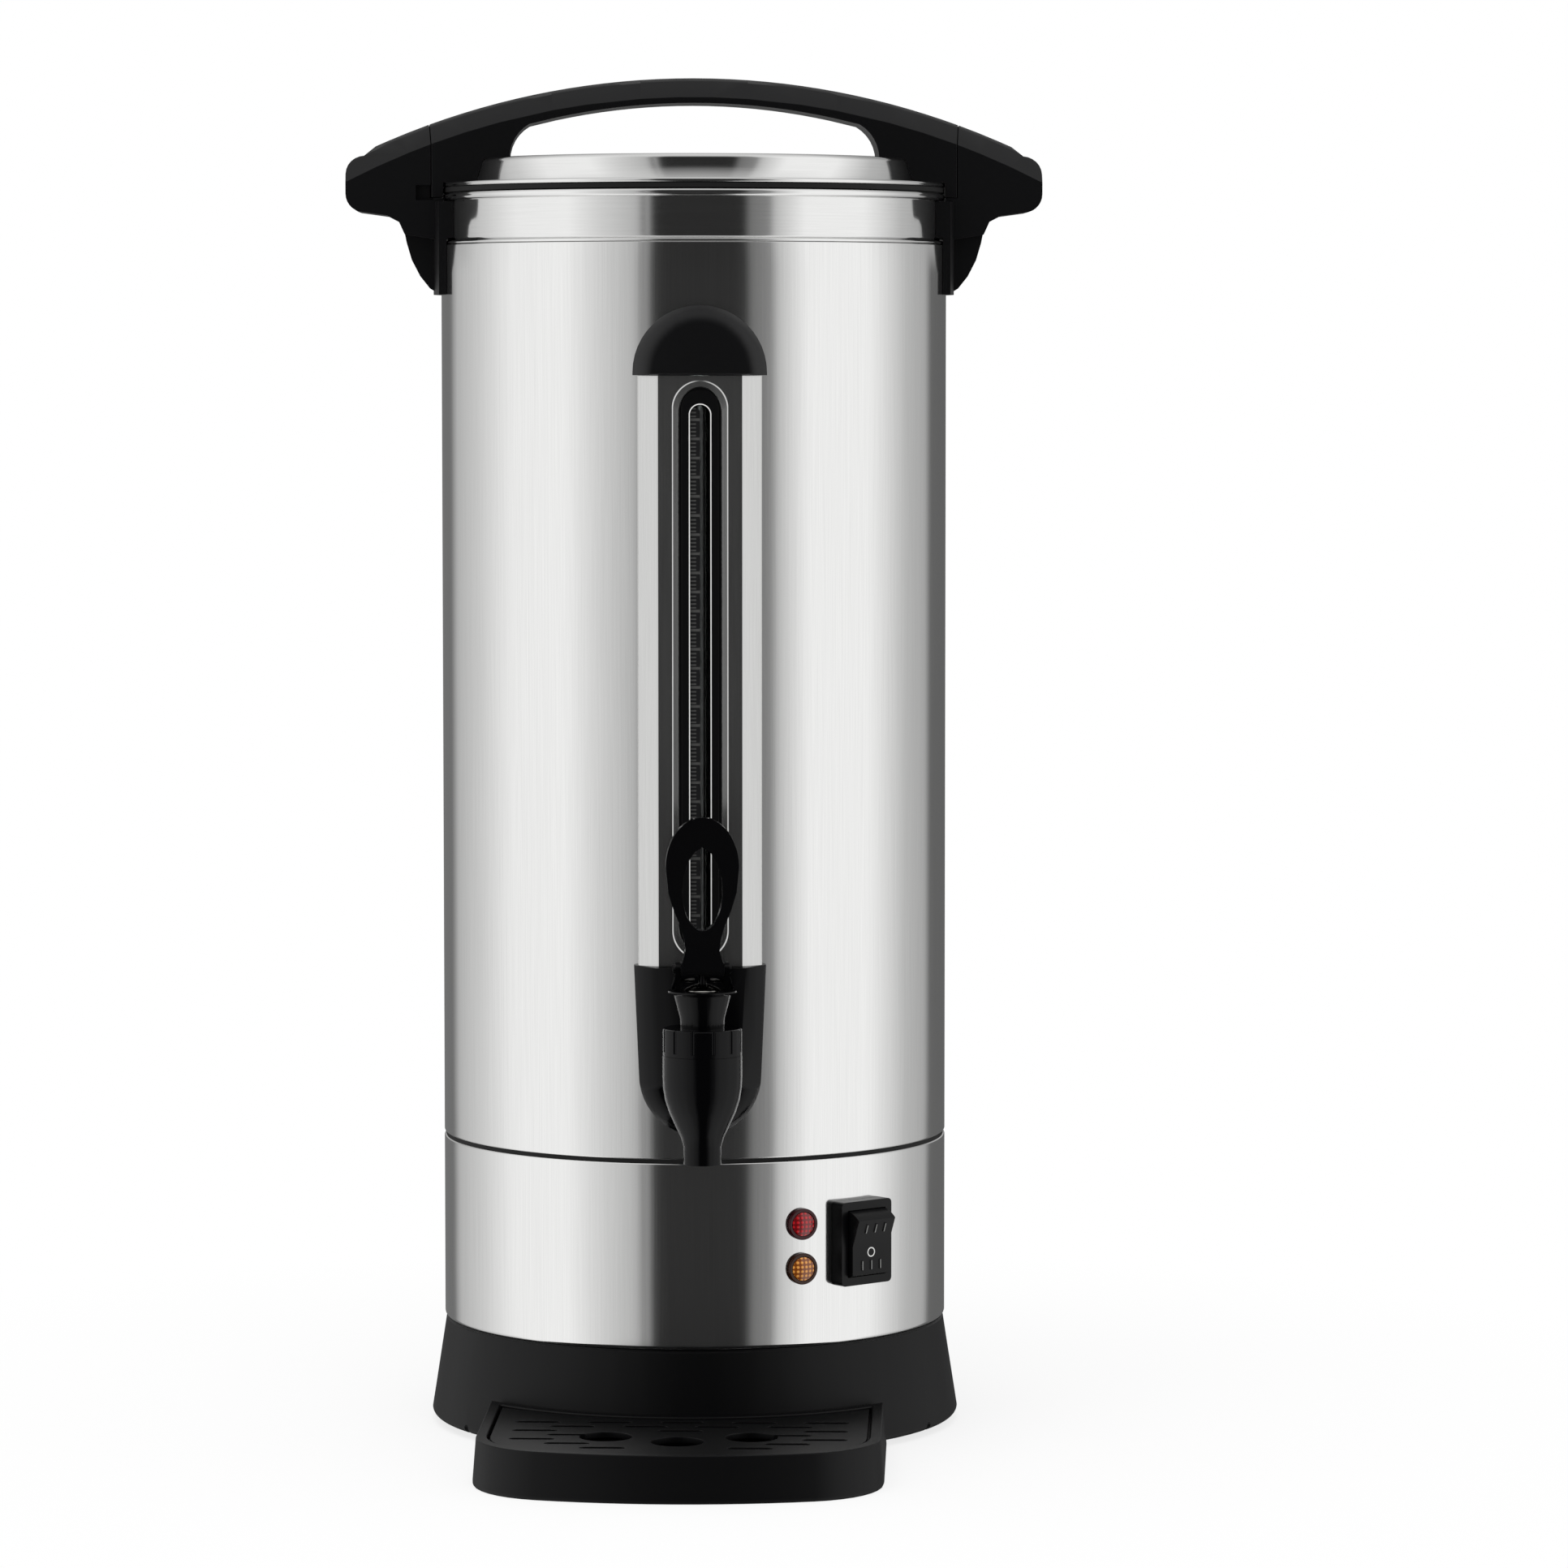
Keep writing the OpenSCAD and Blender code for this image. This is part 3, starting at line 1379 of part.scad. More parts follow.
module terminal_block() {
    base = pan_z + pan_t + seat;
    color(white)
        difference() {
            block([terminal_x, -8, base], [terminal_x + 34, 8, base + 14]);
            for (i = [0:3]) {
                x = terminal_x + 5 + terminal_pitch * i;
                translate([x, 0, base + 6]) cylinder(r = 2.4, h = 10);
                rod_y(1.8, -10, 10, x, base + 6);
            }
        }
}

module wiring() {
    base = pan_z + pan_t;
    wire_z = base + seat + 6;
    inlet_back = body_r - inlet_depth - 8.3;
    color("#8c2a22")
        wire([[-7, inlet_back, inlet_z - 2], [-7, inlet_back - 8, inlet_z - 2], [-20, 40, base + 20],
            [-43, 20, wire_z], [-43, 9, wire_z]]);
    color("#27478c")
        wire([[7, inlet_back, inlet_z - 2], [7, inlet_back - 8, inlet_z - 2], [0, 36, base + 24],
            [-35, 20, wire_z], [-35, 9, wire_z]]);
    color("#3d7a35")
        wire([[0, inlet_back, inlet_z + 2], [0, inlet_back - 12, inlet_z + 2], [36, 34, base + 12],
            [40, 30, base + 1.6]]);
    color("#8c2a22")
        wire([[-27, -9, wire_z], [-27, -20, wire_z], [0, -40, base + 18],
            [switch_wire_x, switch_wire_y, switch_z - 9]]);
    color("#27478c")
        wire([[-19, -9, wire_z], [-19, -18, wire_z + 4], [10, -14, floor_z - 50],
            [element_r - 0.6, 3.4, plate_gap_z - heater_h - 26],
            [element_r - 0.6, 3.4, plate_gap_z - heater_h - 13.6]]);
}

// The inner end of the switch's lowest terminal
switch_wire_r = body_r + frame_out - rocker_back - switch_depth - 13.4;
switch_wire_x = switch_wire_r * sin(switch_turn);
switch_wire_y = -switch_wire_r * cos(switch_turn);

// ---- Brewing ----------------------------------------------------------------------------

module percolator_tube() {
    neck_z = bell_z + 18;
    color(steel)
        difference() {
            union() {
                rotate_extrude()
                    polygon([[valve_r - 2, bell_z], [bell_r, bell_z], [bell_r, bell_z + 2.4],
                        [perc_r + 3, neck_z - 4], [perc_r, neck_z], [perc_r, perc_top_z],
                        [perc_r - perc_wall, perc_top_z], [perc_r - perc_wall, neck_z],
                        [perc_r + 2, neck_z - 4.6], [bell_r - 1.4, bell_z + 2.4],
                        [bell_r - 1.4, bell_z + 1.4], [valve_r - 2, bell_z + 1.4]]);
                tube(perc_r + 3.6, perc_r - 0.2, basket_z - stop_h, basket_z - seat);
            }
            polar(6) translate([valve_r + 4, 0, bell_z - 1]) cylinder(r = 2, h = 2.8);
            polar(4) translate([0, 0, bell_z + 8]) rotate([90, 0, 0]) cylinder(r = 1.6, h = 40);
        }
}

module pump_disc() {
    color(steel)
        translate([0, 0, valve_z])
            difference() {
                cylinder(r = valve_r, h = 1);
                polar(3) translate([valve_r * 0.5, 0, -1]) cylinder(r = 2, h = 3);
            }
}

// Rings of small drain holes in the basket and its cover
module drain_holes(z, h) {
    for (k = [1:3])
        polar(6 * k, 10 * k)
            translate([basket_d / 2 * (0.18 + 0.24 * k), 0, z]) cylinder(r = 1.7, h = h);
}

module coffee_basket() {
    r = basket_d / 2;
    color(steel)
        difference() {
            union() {
                tube(r, r - basket_t, basket_z, basket_z + basket_h);
                tube(r, perc_r + 0.3, basket_z, basket_z + basket_t);
                tube(perc_r + 1.3, perc_r + 0.3, basket_z, basket_z + basket_h - 1);
                tube(r + 1.6, r - basket_t, basket_z + basket_h - 1.2, basket_z + basket_h);
            }
            drain_holes(basket_z - 1, 3);
        }
}

module basket_cover() {
    r = basket_d / 2;
    z0 = basket_z + basket_h + seat;
    color(steel)
        difference() {
            union() {
                tube(r + 1, perc_r + 0.3, z0, z0 + basket_t);
                tube(r + 1, r, z0, z0 + 6);
            }
            drain_holes(z0 - 1, 3);
        }
}

// ---- Drip tray --------------------------------------------------------------------------

// Half of the tray's outline, inset by d: side, round corner and front arc about the urn's axis
function tray_half(d) =
    let (w = tray_w / 2 - d, r = tray_front - d, c = tray_corner - d / 2,
        cx = w - c, cy = sqrt((r - c) * (r - c) - cx * cx), ca = atan2(-cy, cx))
    concat([[w, -body_r * 0.5]], arc(cx, -cy, c, 0, ca, 8),
        [for (i = [1:6]) let (a = ca + (-90 - ca) * i / 6) [r * cos(a), r * sin(a)]]);

module tray_outline(d) {
    side = tray_half(d);
    polygon(concat(side, [for (i = [len(side) - 2:-1:0]) [-side[i][0], side[i][1]]]));
}

module drip_tray() {
    pan_in = rim_w + grate_gap + grate_ledge;
    color(black)
        rotate(tray_turn)
            difference() {
                hull() {
                    linear_extrude(0.5) tray_outline(0.5);
                    translate([0, 0, 1.5]) linear_extrude(0.5) tray_outline(0);
                    translate([0, 0, tray_h - 0.5]) linear_extrude(0.5) tray_outline(tray_draft);
                }
                translate([0, 0, -1]) cylinder(r = tray_back, h = tray_h + 2);
                difference() {
                    translate([0, 0, tray_floor]) linear_extrude(tray_h) tray_outline(pan_in + tray_draft);
                    translate([0, 0, -1]) cylinder(r = tray_back + pan_in, h = tray_h + 2);
                }
                difference() {
                    translate([0, 0, grate_z - seat]) linear_extrude(tray_h) tray_outline(rim_w + tray_draft);
                    translate([0, 0, -1]) cylinder(r = tray_back + rim_w, h = tray_h + 2);
                }
            }
}

// Middles of the grate's slots: alternate columns stand half a row forward
slot_places = [for (k = [-4:4], j = [0:4])
    let (x = k * slot_pitch,
        y = tray_back + 12 + row_pitch * j + (k % 2 == 0 ? 0 : row_pitch / 2),
        front = tray_front - 12, side = tray_w / 2 - 12 - slot_len / 2,
        drain = min(norm([x - drain_x, y - drain_y]), norm([x + drain_x, y - drain_y]),
            norm([x, y - drain_mid_y])))
    if (norm([x, y]) > tray_back + 9 && norm([abs(x) + slot_len / 2, y]) < front
        && abs(x) < side + 1 && drain > drain_d / 2 + 5) [x, -y]];

module drip_grate() {
    edge = rim_w + tray_draft + grate_gap;
    slot_d = 3.8;
    color(black)
        rotate(tray_turn)
            difference() {
                translate([0, 0, grate_z]) linear_extrude(grate_t) tray_outline(edge);
                translate([0, 0, -1]) cylinder(r = tray_back + rim_w + grate_gap, h = tray_h + 2);
                for (p = [[-drain_x, -drain_y], [0, -drain_mid_y], [drain_x, -drain_y]])
                    translate([p[0], p[1], grate_z - 1]) cylinder(r = drain_d / 2, h = grate_t + 2);
                for (p = slot_places)
                    translate([p[0], p[1], grate_z - 1])
                        rotate(90)
                            linear_extrude(grate_t + 2)
                                polygon(slot_points(slot_d, -slot_len / 2, slot_len / 2, 4));
            }
}

// ---- Nodes ------------------------------------------------------------------------------

inner_tank();
outer_shell();
control_band();
seam_gasket();
base_skirt();
base_pan();
bottom_cover();
base_screws();
rubber_feet();
side_handle_left();
side_handle_right();
side_handle_screws();
lid();
lid_gasket();
lid_handle();
lid_handle_screws();
gauge_cover();
gauge_window();
sight_tube();
gauge_cap();
gauge_grommet();
gauge_base();
tap_escutcheon();
tap_shank();
tap_shank_nut();
tap_washers();
tap_body();
tap_bonnet();
stem_washer();
tap_stem();
seat_cup();
tap_spring();
tap_lever();
lever_pins();
switch_housing();
switch_rocker();
switch_pin();
switch_terminals();
lamp_red();
lamp_amber();
lamp_bezels();
lamp_nuts();
power_inlet();
inlet_pins();
inlet_screws();
heater_plate();
heater_element();
warm_heater();
tie_rod();
clamp_nuts();
thermostats();
thermal_fuse();
terminal_block();
wiring();
percolator_tube();
pump_disc();
coffee_basket();
basket_cover();
drip_tray();
drip_grate();
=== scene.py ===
# %% [markdown]
# This notebook dresses the CAD model of an electric coffee urn. The model is loaded first and never
# moved: every new piece is built where the CAD says, and rides on the same bodies.

# %% Load the model
import json
import math

import bpy
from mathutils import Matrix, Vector


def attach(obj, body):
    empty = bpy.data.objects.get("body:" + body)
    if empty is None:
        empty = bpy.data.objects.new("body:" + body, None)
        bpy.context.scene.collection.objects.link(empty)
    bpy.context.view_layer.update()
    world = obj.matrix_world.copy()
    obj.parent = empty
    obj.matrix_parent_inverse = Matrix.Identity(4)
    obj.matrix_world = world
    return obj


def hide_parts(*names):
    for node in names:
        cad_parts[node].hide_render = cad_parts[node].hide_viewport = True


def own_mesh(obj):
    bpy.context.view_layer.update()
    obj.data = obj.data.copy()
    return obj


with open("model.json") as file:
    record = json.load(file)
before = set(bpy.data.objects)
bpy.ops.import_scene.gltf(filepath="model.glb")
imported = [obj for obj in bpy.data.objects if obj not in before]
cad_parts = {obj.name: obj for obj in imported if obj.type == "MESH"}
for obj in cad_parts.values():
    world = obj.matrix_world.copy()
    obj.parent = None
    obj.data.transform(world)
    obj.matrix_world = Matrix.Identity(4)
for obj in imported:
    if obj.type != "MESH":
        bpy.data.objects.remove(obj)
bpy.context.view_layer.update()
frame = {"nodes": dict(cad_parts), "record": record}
MM = 0.001
NODES = frame["nodes"]
BODY_OF = {node: body for body, group in frame["record"]["behaviour"]["bodies"].items()
           for node in group}
SLOT_OF = {row["node"]: row["material_slot"] for row in frame["record"]["subparts"]}

# %% [markdown]
# The urn is seen from almost straight ahead, through a long lens from just above the middle of the
# body. A long lens keeps the sides of the tall cylinder nearly parallel.

# %% Camera
CAMERA_DISTANCE = 2.673
CAMERA_HEIGHT = 0.471
CAMERA_TURN = math.radians(1.2)
AIM_RIGHT = math.radians(0.843)
AIM_DOWN = math.radians(4.098)
SENSOR_WIDTH = 36
FOCAL_PER_WIDTH = 3.893
FAR_CLIP = 50

camera = bpy.data.objects.new("Camera", bpy.data.cameras.new("Camera"))
bpy.context.scene.collection.objects.link(camera)
camera.data.sensor_width = SENSOR_WIDTH
camera.data.lens = SENSOR_WIDTH * FOCAL_PER_WIDTH
camera.data.clip_end = FAR_CLIP
camera.location = (-CAMERA_DISTANCE * math.sin(CAMERA_TURN),
                   -CAMERA_DISTANCE * math.cos(CAMERA_TURN), CAMERA_HEIGHT)
heading = CAMERA_TURN + AIM_RIGHT
aim = Vector((math.sin(heading) * math.cos(AIM_DOWN), math.cos(heading) * math.cos(AIM_DOWN),
              -math.sin(AIM_DOWN)))
camera.rotation_mode = "QUATERNION"
camera.rotation_quaternion = aim.to_track_quat("-Z", "Y")
bpy.context.scene.camera = camera
bpy.context.scene.view_settings.view_transform = "Standard"
print("camera stands at", [round(v, 3) for v in camera.location])

# %% [markdown]
# Materials are node trees. One function turns a colour written as sRGB hex into linear light, one
# adds a node with its settings, socket values and links, and the others are short names for the
# patterns that most materials share.


# %% Colour and node helpers
def linear(hex_colour):
    """An sRGB hex colour as linear red, green, blue and full alpha."""
    levels = [int(hex_colour[i:i + 2], 16) / 255 for i in (1, 3, 5)]
    return (*[c / 12.92 if c <= 0.04045 else ((c + 0.055) / 1.055) ** 2.4 for c in levels], 1.0)


def add(tree, kind, values=None, links=None, **settings):
    """A new node of one kind, with socket values, incoming links and settings."""
    node = tree.nodes.new(kind)
    for key, value in settings.items():
        setattr(node, key, value)
    for key, value in (values or {}).items():
        node.inputs[key].default_value = value
    for key, source in (links or {}).items():
        tree.links.new(source, node.inputs[key])
    return node


def calc(tree, operation, *terms):
    """The result of a math node. Each term is a number or another node's output."""
    numbers = {i: term for i, term in enumerate(terms) if isinstance(term, float)}
    sources = {i: term for i, term in enumerate(terms) if i not in numbers}
    return add(tree, "ShaderNodeMath", numbers, sources, operation=operation).outputs[0]


def new_material(name, **sockets):
    """A material with one Principled shader, and that shader's constants."""
    material = bpy.data.materials.new(name)
    material.use_nodes = True
    tree = material.node_tree
    shader = tree.nodes["Principled BSDF"]
    for key, value in sockets.items():
        shader.inputs[key.replace("_", " ")].default_value = value
    return material, tree, shader


def place(tree, size, centre=(0, 0, 0), turn=0.0):
    """Object coordinates about a centre, turned back by an angle, in units of a size in metres."""
    coords = add(tree, "ShaderNodeTexCoord").outputs["Object"]
    moved = add(tree, "ShaderNodeMapping", {"Location": tuple(-c for c in centre)},
                {"Vector": coords}).outputs[0]
    turned_back = add(tree, "ShaderNodeMapping", {"Rotation": (0, 0, -turn)},
                      {"Vector": moved}).outputs[0]
    return add(tree, "ShaderNodeMapping", {"Scale": tuple(1 / s for s in size)},
               {"Vector": turned_back}).outputs[0]


def along(tree, axis, size, centre=(0, 0, 0)):
    """How far a point lies along one axis, in units of that axis's size."""
    return add(tree, "ShaderNodeSeparateXYZ", links={0: place(tree, size, centre)}).outputs[axis]


def noise(tree, size, detail=3.0):
    """A 0 to 1 noise whose spots have the given size along X, Y and Z, in mm."""
    return add(tree, "ShaderNodeTexNoise", {"Scale": 1.0, "Detail": detail, "Roughness": 0.6},
               {"Vector": place(tree, [s * MM for s in size])}).outputs["Fac"]


def bump(tree, shader, height, depth, strength):
    """Bump of a real depth in mm on a shader."""
    node = add(tree, "ShaderNodeBump", {"Strength": strength, "Distance": depth * MM},
               {"Height": height})
    tree.links.new(node.outputs[0], shader.inputs["Normal"])


def spread(tree, source, low, high):
    """A 0 to 1 pattern stretched to run from low to high."""
    return add(tree, "ShaderNodeMapRange", {"To Min": low, "To Max": high},
               {"Value": source}).outputs[0]


def rise(tree, source, start, end):
    """0 up to where a value reaches start, 1 from end on, and an even slope between."""
    return add(tree, "ShaderNodeMapRange", {"From Min": start, "From Max": end},
               {"Value": source}).outputs[0]


def between(tree, factor, first, second):
    """A colour between two sRGB colours, by a 0 to 1 pattern."""
    node = add(tree, "ShaderNodeMix", data_type="RGBA")
    node.inputs[6].default_value = linear(first)
    node.inputs[7].default_value = linear(second)
    tree.links.new(factor, node.inputs[0])
    return node.outputs[2]


# %% [markdown]
# The body is 430 stainless sheet, brushed upright before it was rolled. Brushing leaves fine lines
# that blur a reflection a little across them. The lines are a noise stretched along Z, about 0.5 mm
# apart, which is coarser than real grit so that it still shows in a picture. The collar and the lid
# were polished while they spun, so their lines run round and are fainter.


# %% Steel and other metals
METAL_BUMP = 0.35


def metal(name, colours, size, rough, depth):
    """A metal whose grain has the given size along X, Y and Z, and a depth, all in mm."""
    material, tree, shader = new_material(name, Metallic=1.0)
    lines = noise(tree, size)
    tree.links.new(spread(tree, lines, *rough), shader.inputs["Roughness"])
    tree.links.new(between(tree, lines, *colours), shader.inputs["Base Color"])
    bump(tree, shader, lines, depth, METAL_BUMP)
    return material


brushed = metal("brushed stainless steel", ("#DEDEDD", "#EEEEED"), (0.5, 0.5, 60),
                (0.09, 0.15), 0.002)
satin = metal("satin stainless steel", ("#C2C2C1", "#D2D2D1"), (0.5, 0.5, 40),
              (0.2, 0.28), 0.003)
polished = metal("bright annealed stainless steel", ("#DFDFDE", "#EBEBEA"), (30, 30, 0.7),
                 (0.07, 0.13), 0.002)
plated = metal("zinc plated steel", ("#A9ABAC", "#C4C6C7"), (0.8, 0.8, 0.8),
               (0.22, 0.36), 0.01)
bright_plated = metal("nickel plated steel", ("#D2D0CB", "#E2E0DB"), (2, 2, 0.3),
                      (0.08, 0.14), 0.002)
sheathed = metal("heater sheath steel", ("#4B4947", "#67635F"), (1.5, 1.5, 1.5),
                 (0.4, 0.6), 0.02)
aluminium = metal("cast aluminium", ("#A4A6A8", "#BDBFC1"), (0.7, 0.7, 0.7),
                  (0.38, 0.55), 0.03)
brass = metal("turned brass", ("#B28E4F", "#C9A767"), (4, 4, 0.3),
              (0.2, 0.34), 0.004)
oxide = metal("black oxide steel", ("#1B1B1C", "#2A2A2B"), (0.6, 0.6, 0.6),
              (0.3, 0.42), 0.006)
print("9 metals")

# %% [markdown]
# The handles are phenolic, the tap is acetal, the base and tray are polypropylene and the switch is
# nylon. All are black, and what tells them apart is the gloss and the grain that the steel moulds
# leave. Black plastic in a white room looks grey if it mirrors too much, so the gloss of each one
# is set on the shader's own specular socket. Only the lever is polished.


# %% Plastics, rubber and ceramic
PLASTIC_BUMP = 0.5


def moulding(name, colours, grain, rough, depth, gloss=0.5):
    """Moulded plastic, whose tool leaves a fine, even, spark-eroded grain. Sizes are in mm."""
    material, tree, shader = new_material(name, IOR=1.5, Specular_IOR_Level=gloss)
    spots = noise(tree, (grain, grain, grain), 2.0)
    tree.links.new(between(tree, spots, *colours), shader.inputs["Base Color"])
    tree.links.new(spread(tree, spots, *rough), shader.inputs["Roughness"])
    bump(tree, shader, spots, depth, PLASTIC_BUMP)
    return material


phenolic = moulding("black phenolic moulding", ("#040405", "#08080A"), 0.4,
                    (0.32, 0.42), 0.008, 0.34)
tap_black = moulding("gloss black acetal", ("#020203", "#040405"), 0.5,
                     (0.12, 0.18), 0.003, 0.16)
base_black = moulding("satin black polypropylene", ("#030304", "#070708"), 0.35,
                      (0.38, 0.48), 0.010, 0.19)
switch_black = moulding("gloss black nylon", ("#030304", "#060607"), 0.4,
                        (0.26, 0.36), 0.003, 0.2)
lever_black = moulding("polished black acetal", ("#020203", "#040405"), 0.5,
                       (0.1, 0.16), 0.003, 0.6)
rubber_black = moulding("black silicone rubber", ("#0B0B0B", "#131313"), 0.4,
                        (0.6, 0.8), 0.02, 0.3)
ceramic = moulding("white steatite", ("#D9D5CC", "#E6E2D9"), 0.6, (0.45, 0.6), 0.02)
sleeving = moulding("silicone wire sleeving", ("#7A221B", "#8E2A21"), 0.8, (0.4, 0.5), 0.02)
white_print_and_highlight = moulding("white pad print and painted highlight", ("#D6D6D4", "#E4E4E2"), 0.6, (0.4, 0.5), 0.004)
rib_highlight_grey = moulding("grey painted rib highlight", ("#7C7C7A", "#888886"), 0.6, (0.4, 0.5), 0.004)
print("10 mouldings and prints")

# %% [markdown]
# A lamp's lens is clear coloured acrylic with small pyramids moulded inside, which spread the light
# of the bulb. The pyramids are a bump, and the light they spread is painted into the colour as a
# grid of bright dots between dark lines: painted glints. The grid is drawn on the lens's own plane,
# which faces the way the lamps face, 23.1 degrees round the body. The rim of each lamp is smoked
# acrylic in a dark shade of its own colour.

# %% Lamp lenses
PANEL_Z = 89.8
LAMP_TURN = math.radians(23.1)
LAMP_PITCH = 19.1
LAMP_R = 111.5
LENS_GRID = 1.9
LENS_PEAK = 0.25
LENS_BUMP = 0.6
GLINT_EDGE = (0.12, 0.6)


def lens(name, dark, light, height):
    """Acrylic lens, pyramids and painted glints in a grid about its middle, at a height in mm."""
    material, tree, shader = new_material(name, IOR=1.49, Roughness=0.12, Coat_Weight=0.5,
                                          Coat_Roughness=0.04)
    middle = (LAMP_R * MM * math.sin(LAMP_TURN), -LAMP_R * MM * math.cos(LAMP_TURN),
              height * MM)
    grid = place(tree, (LENS_GRID * MM, 1.0, LENS_GRID * MM), middle, LAMP_TURN)
    part = add(tree, "ShaderNodeSeparateXYZ", links={0: grid})
    waves = [spread(tree, calc(tree, "PINGPONG", part.outputs[axis], 0.5), 0.0, 2.0)
             for axis in ("X", "Z")]
    peak = calc(tree, "MULTIPLY", *waves)
    # The peaks are painted a brighter colour: painted glints of the light that the pyramids spread.
    painted_glints = rise(tree, peak, *GLINT_EDGE)
    tree.links.new(between(tree, painted_glints, dark, light), shader.inputs["Base Color"])
    bump(tree, shader, peak, LENS_PEAK, LENS_BUMP)
    return material


red_lens = lens("red acrylic lens", "#6A080E", "#C0141E", PANEL_Z + LAMP_PITCH / 2)
amber_lens = lens("amber acrylic lens", "#7A3A08", "#EBA24A", PANEL_Z - LAMP_PITCH / 2)

smoked, smoked_tree, smoked_shader = new_material("smoked acrylic", IOR=1.49, Roughness=0.1,
                                                  Specular_IOR_Level=0.4)
above_middle = along(smoked_tree, "Z", (1.0, 1.0, MM), (0, 0, PANEL_Z * MM))
upper_lamp = calc(smoked_tree, "GREATER_THAN", above_middle, 0.0)
smoked_tree.links.new(between(smoked_tree, upper_lamp, "#2C1103", "#2E0308"),
                      smoked_shader.inputs["Base Color"])
print("2 lenses and their rims")

# %% [markdown]
# The gauge is a glass tube seen through a black slot. Beside it runs a plain graduated strip: fine
# lines 1.6 mm apart, and a wider line every fifth, with no numbers.

# %% Glass and the graduated strip
GRADUATION = 1.6
FINE_SHARE = 0.42
MAIN_SHARE = 0.14
FINE_END_X = -1.7

clear_glass, glass_tree, glass_shader = new_material("borosilicate glass", IOR=1.47,
                                                     Roughness=0.02, Transmission_Weight=1.0)
glass_tint = between(glass_tree, noise(glass_tree, (3, 3, 20)), "#EFF5F4", "#F6FAF9")
glass_tree.links.new(glass_tint, glass_shader.inputs["Base Color"])

graduated, strip_tree, strip_shader = new_material("graduated dark strip", IOR=1.5,
                                                   Roughness=0.35, Specular_IOR_Level=0.25)


def stripes(tree, pitch, share):
    """1 on level stripes that repeat every pitch in mm and take a share of it, 0 between them."""
    level = along(tree, "Z", (1.0, 1.0, pitch * MM))
    return calc(tree, "LESS_THAN", calc(tree, "FRACT", level), share)


fine_lines = stripes(strip_tree, GRADUATION, FINE_SHARE)
main_lines = stripes(strip_tree, 5 * GRADUATION, MAIN_SHARE)
short_end = calc(strip_tree, "LESS_THAN", along(strip_tree, "X", (MM, 1.0, 1.0)), FINE_END_X)
short_lines = calc(strip_tree, "MULTIPLY", fine_lines, short_end)
all_lines = calc(strip_tree, "MAXIMUM", short_lines, main_lines)
strip_tree.links.new(between(strip_tree, all_lines, "#19191A", "#454544"),
                     strip_shader.inputs["Base Color"])
print("glass and strip")

# %% Every CAD node gets the material of its slot
FINISH = {
    "brushed_steel": brushed, "polished_steel": polished, "plated_steel": plated,
    "heater_steel": sheathed, "cast_aluminium": aluminium, "black_phenolic": phenolic,
    "black_base": base_black, "black_switch": switch_black, "red_lens": red_lens,
    "amber_lens": amber_lens, "clear_tube": clear_glass, "black_rubber": rubber_black,
    "plain_brass": brass, "white_ceramic": ceramic, "wire_sleeve": sleeving,
}
OWN_FINISH = {
    "tap_body": tap_black, "tap_bonnet": tap_black, "tap_escutcheon": tap_black,
    "tap_lever": lever_black, "lamp_bezels": smoked, "tap_stem": oxide, "lever_pins": oxide,
    "stem_washer": bright_plated,
}


def finish_with(obj, material):
    """Gives a piece one material all over."""
    obj.data.materials.clear()
    obj.data.materials.append(material)


for node, obj in NODES.items():
    finish_with(obj, OWN_FINISH.get(node) or FINISH[SLOT_OF[node]])
print(len(NODES), "nodes finished")

# %% [markdown]
# Round steel pieces are spun from sheet on a lathe. Here one outline of radius and height is drawn
# by extruding a single vertex, and the spin operator carries it round in 256 steps. That many steps
# keep a reflection smooth, where the CAD model's 96 would show as facets.


# %% Lathe helpers
SMOOTH_UP_TO = 30


def only(obj):
    """Selects one object alone and makes it active."""
    bpy.ops.object.select_all(action="DESELECT")
    obj.select_set(True)
    bpy.context.view_layer.objects.active = obj


def shade(obj, degrees=SMOOTH_UP_TO):
    """Shades a piece smooth but for edges sharper than an angle."""
    only(obj)
    bpy.ops.object.shade_smooth_by_angle(angle=math.radians(degrees))


def stand_for(obj, node, material=None):
    """Puts a finished piece in the place of a CAD node, on its body and material."""
    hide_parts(node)
    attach(obj, BODY_OF[node])
    finish_with(obj, material or NODES[node].data.materials[0])


def push(x=0, y=0, z=0):
    """Extrudes what is selected by a step in mm."""
    step = (x * MM, y * MM, z * MM)
    bpy.ops.mesh.extrude_region_move(TRANSFORM_OT_translate={"value": step})


def close_up():
    """Turns all the normals of the piece in edit mode outwards, and leaves edit mode."""
    bpy.ops.mesh.select_all(action="SELECT")
    bpy.ops.mesh.normals_make_consistent(inside=False)
    bpy.ops.object.mode_set(mode="OBJECT")


def arc(cx, cz, radius, start, end, steps=8):
    """Points of an arc about (cx, cz), in mm and degrees."""
    angles = [math.radians(start + (end - start) * i / steps) for i in range(steps + 1)]
    return [(cx + radius * math.cos(a), cz + radius * math.sin(a)) for a in angles]


def outline_wire(name, points, at):
    """A closed wire made by extruding one vertex through points; at() gives a place in mm."""
    bpy.ops.object.select_all(action="DESELECT")
    bpy.ops.mesh.primitive_plane_add(size=MM, location=at(*points[0]) * MM)
    obj = bpy.context.object
    obj.name = name
    bpy.ops.object.transform_apply(location=True, rotation=True, scale=True)
    bpy.ops.object.mode_set(mode="EDIT")
    bpy.ops.mesh.select_mode(type="VERT")
    bpy.ops.mesh.select_all(action="SELECT")
    bpy.ops.mesh.merge(type="CENTER")
    for here, there in zip(points, points[1:] + points[:1]):
        step = (at(*there) - at(*here)) * MM
        bpy.ops.mesh.extrude_region_move(TRANSFORM_OT_translate={"value": step})
    bpy.ops.mesh.select_all(action="SELECT")
    bpy.ops.mesh.remove_doubles(threshold=0.001 * MM)
    return obj


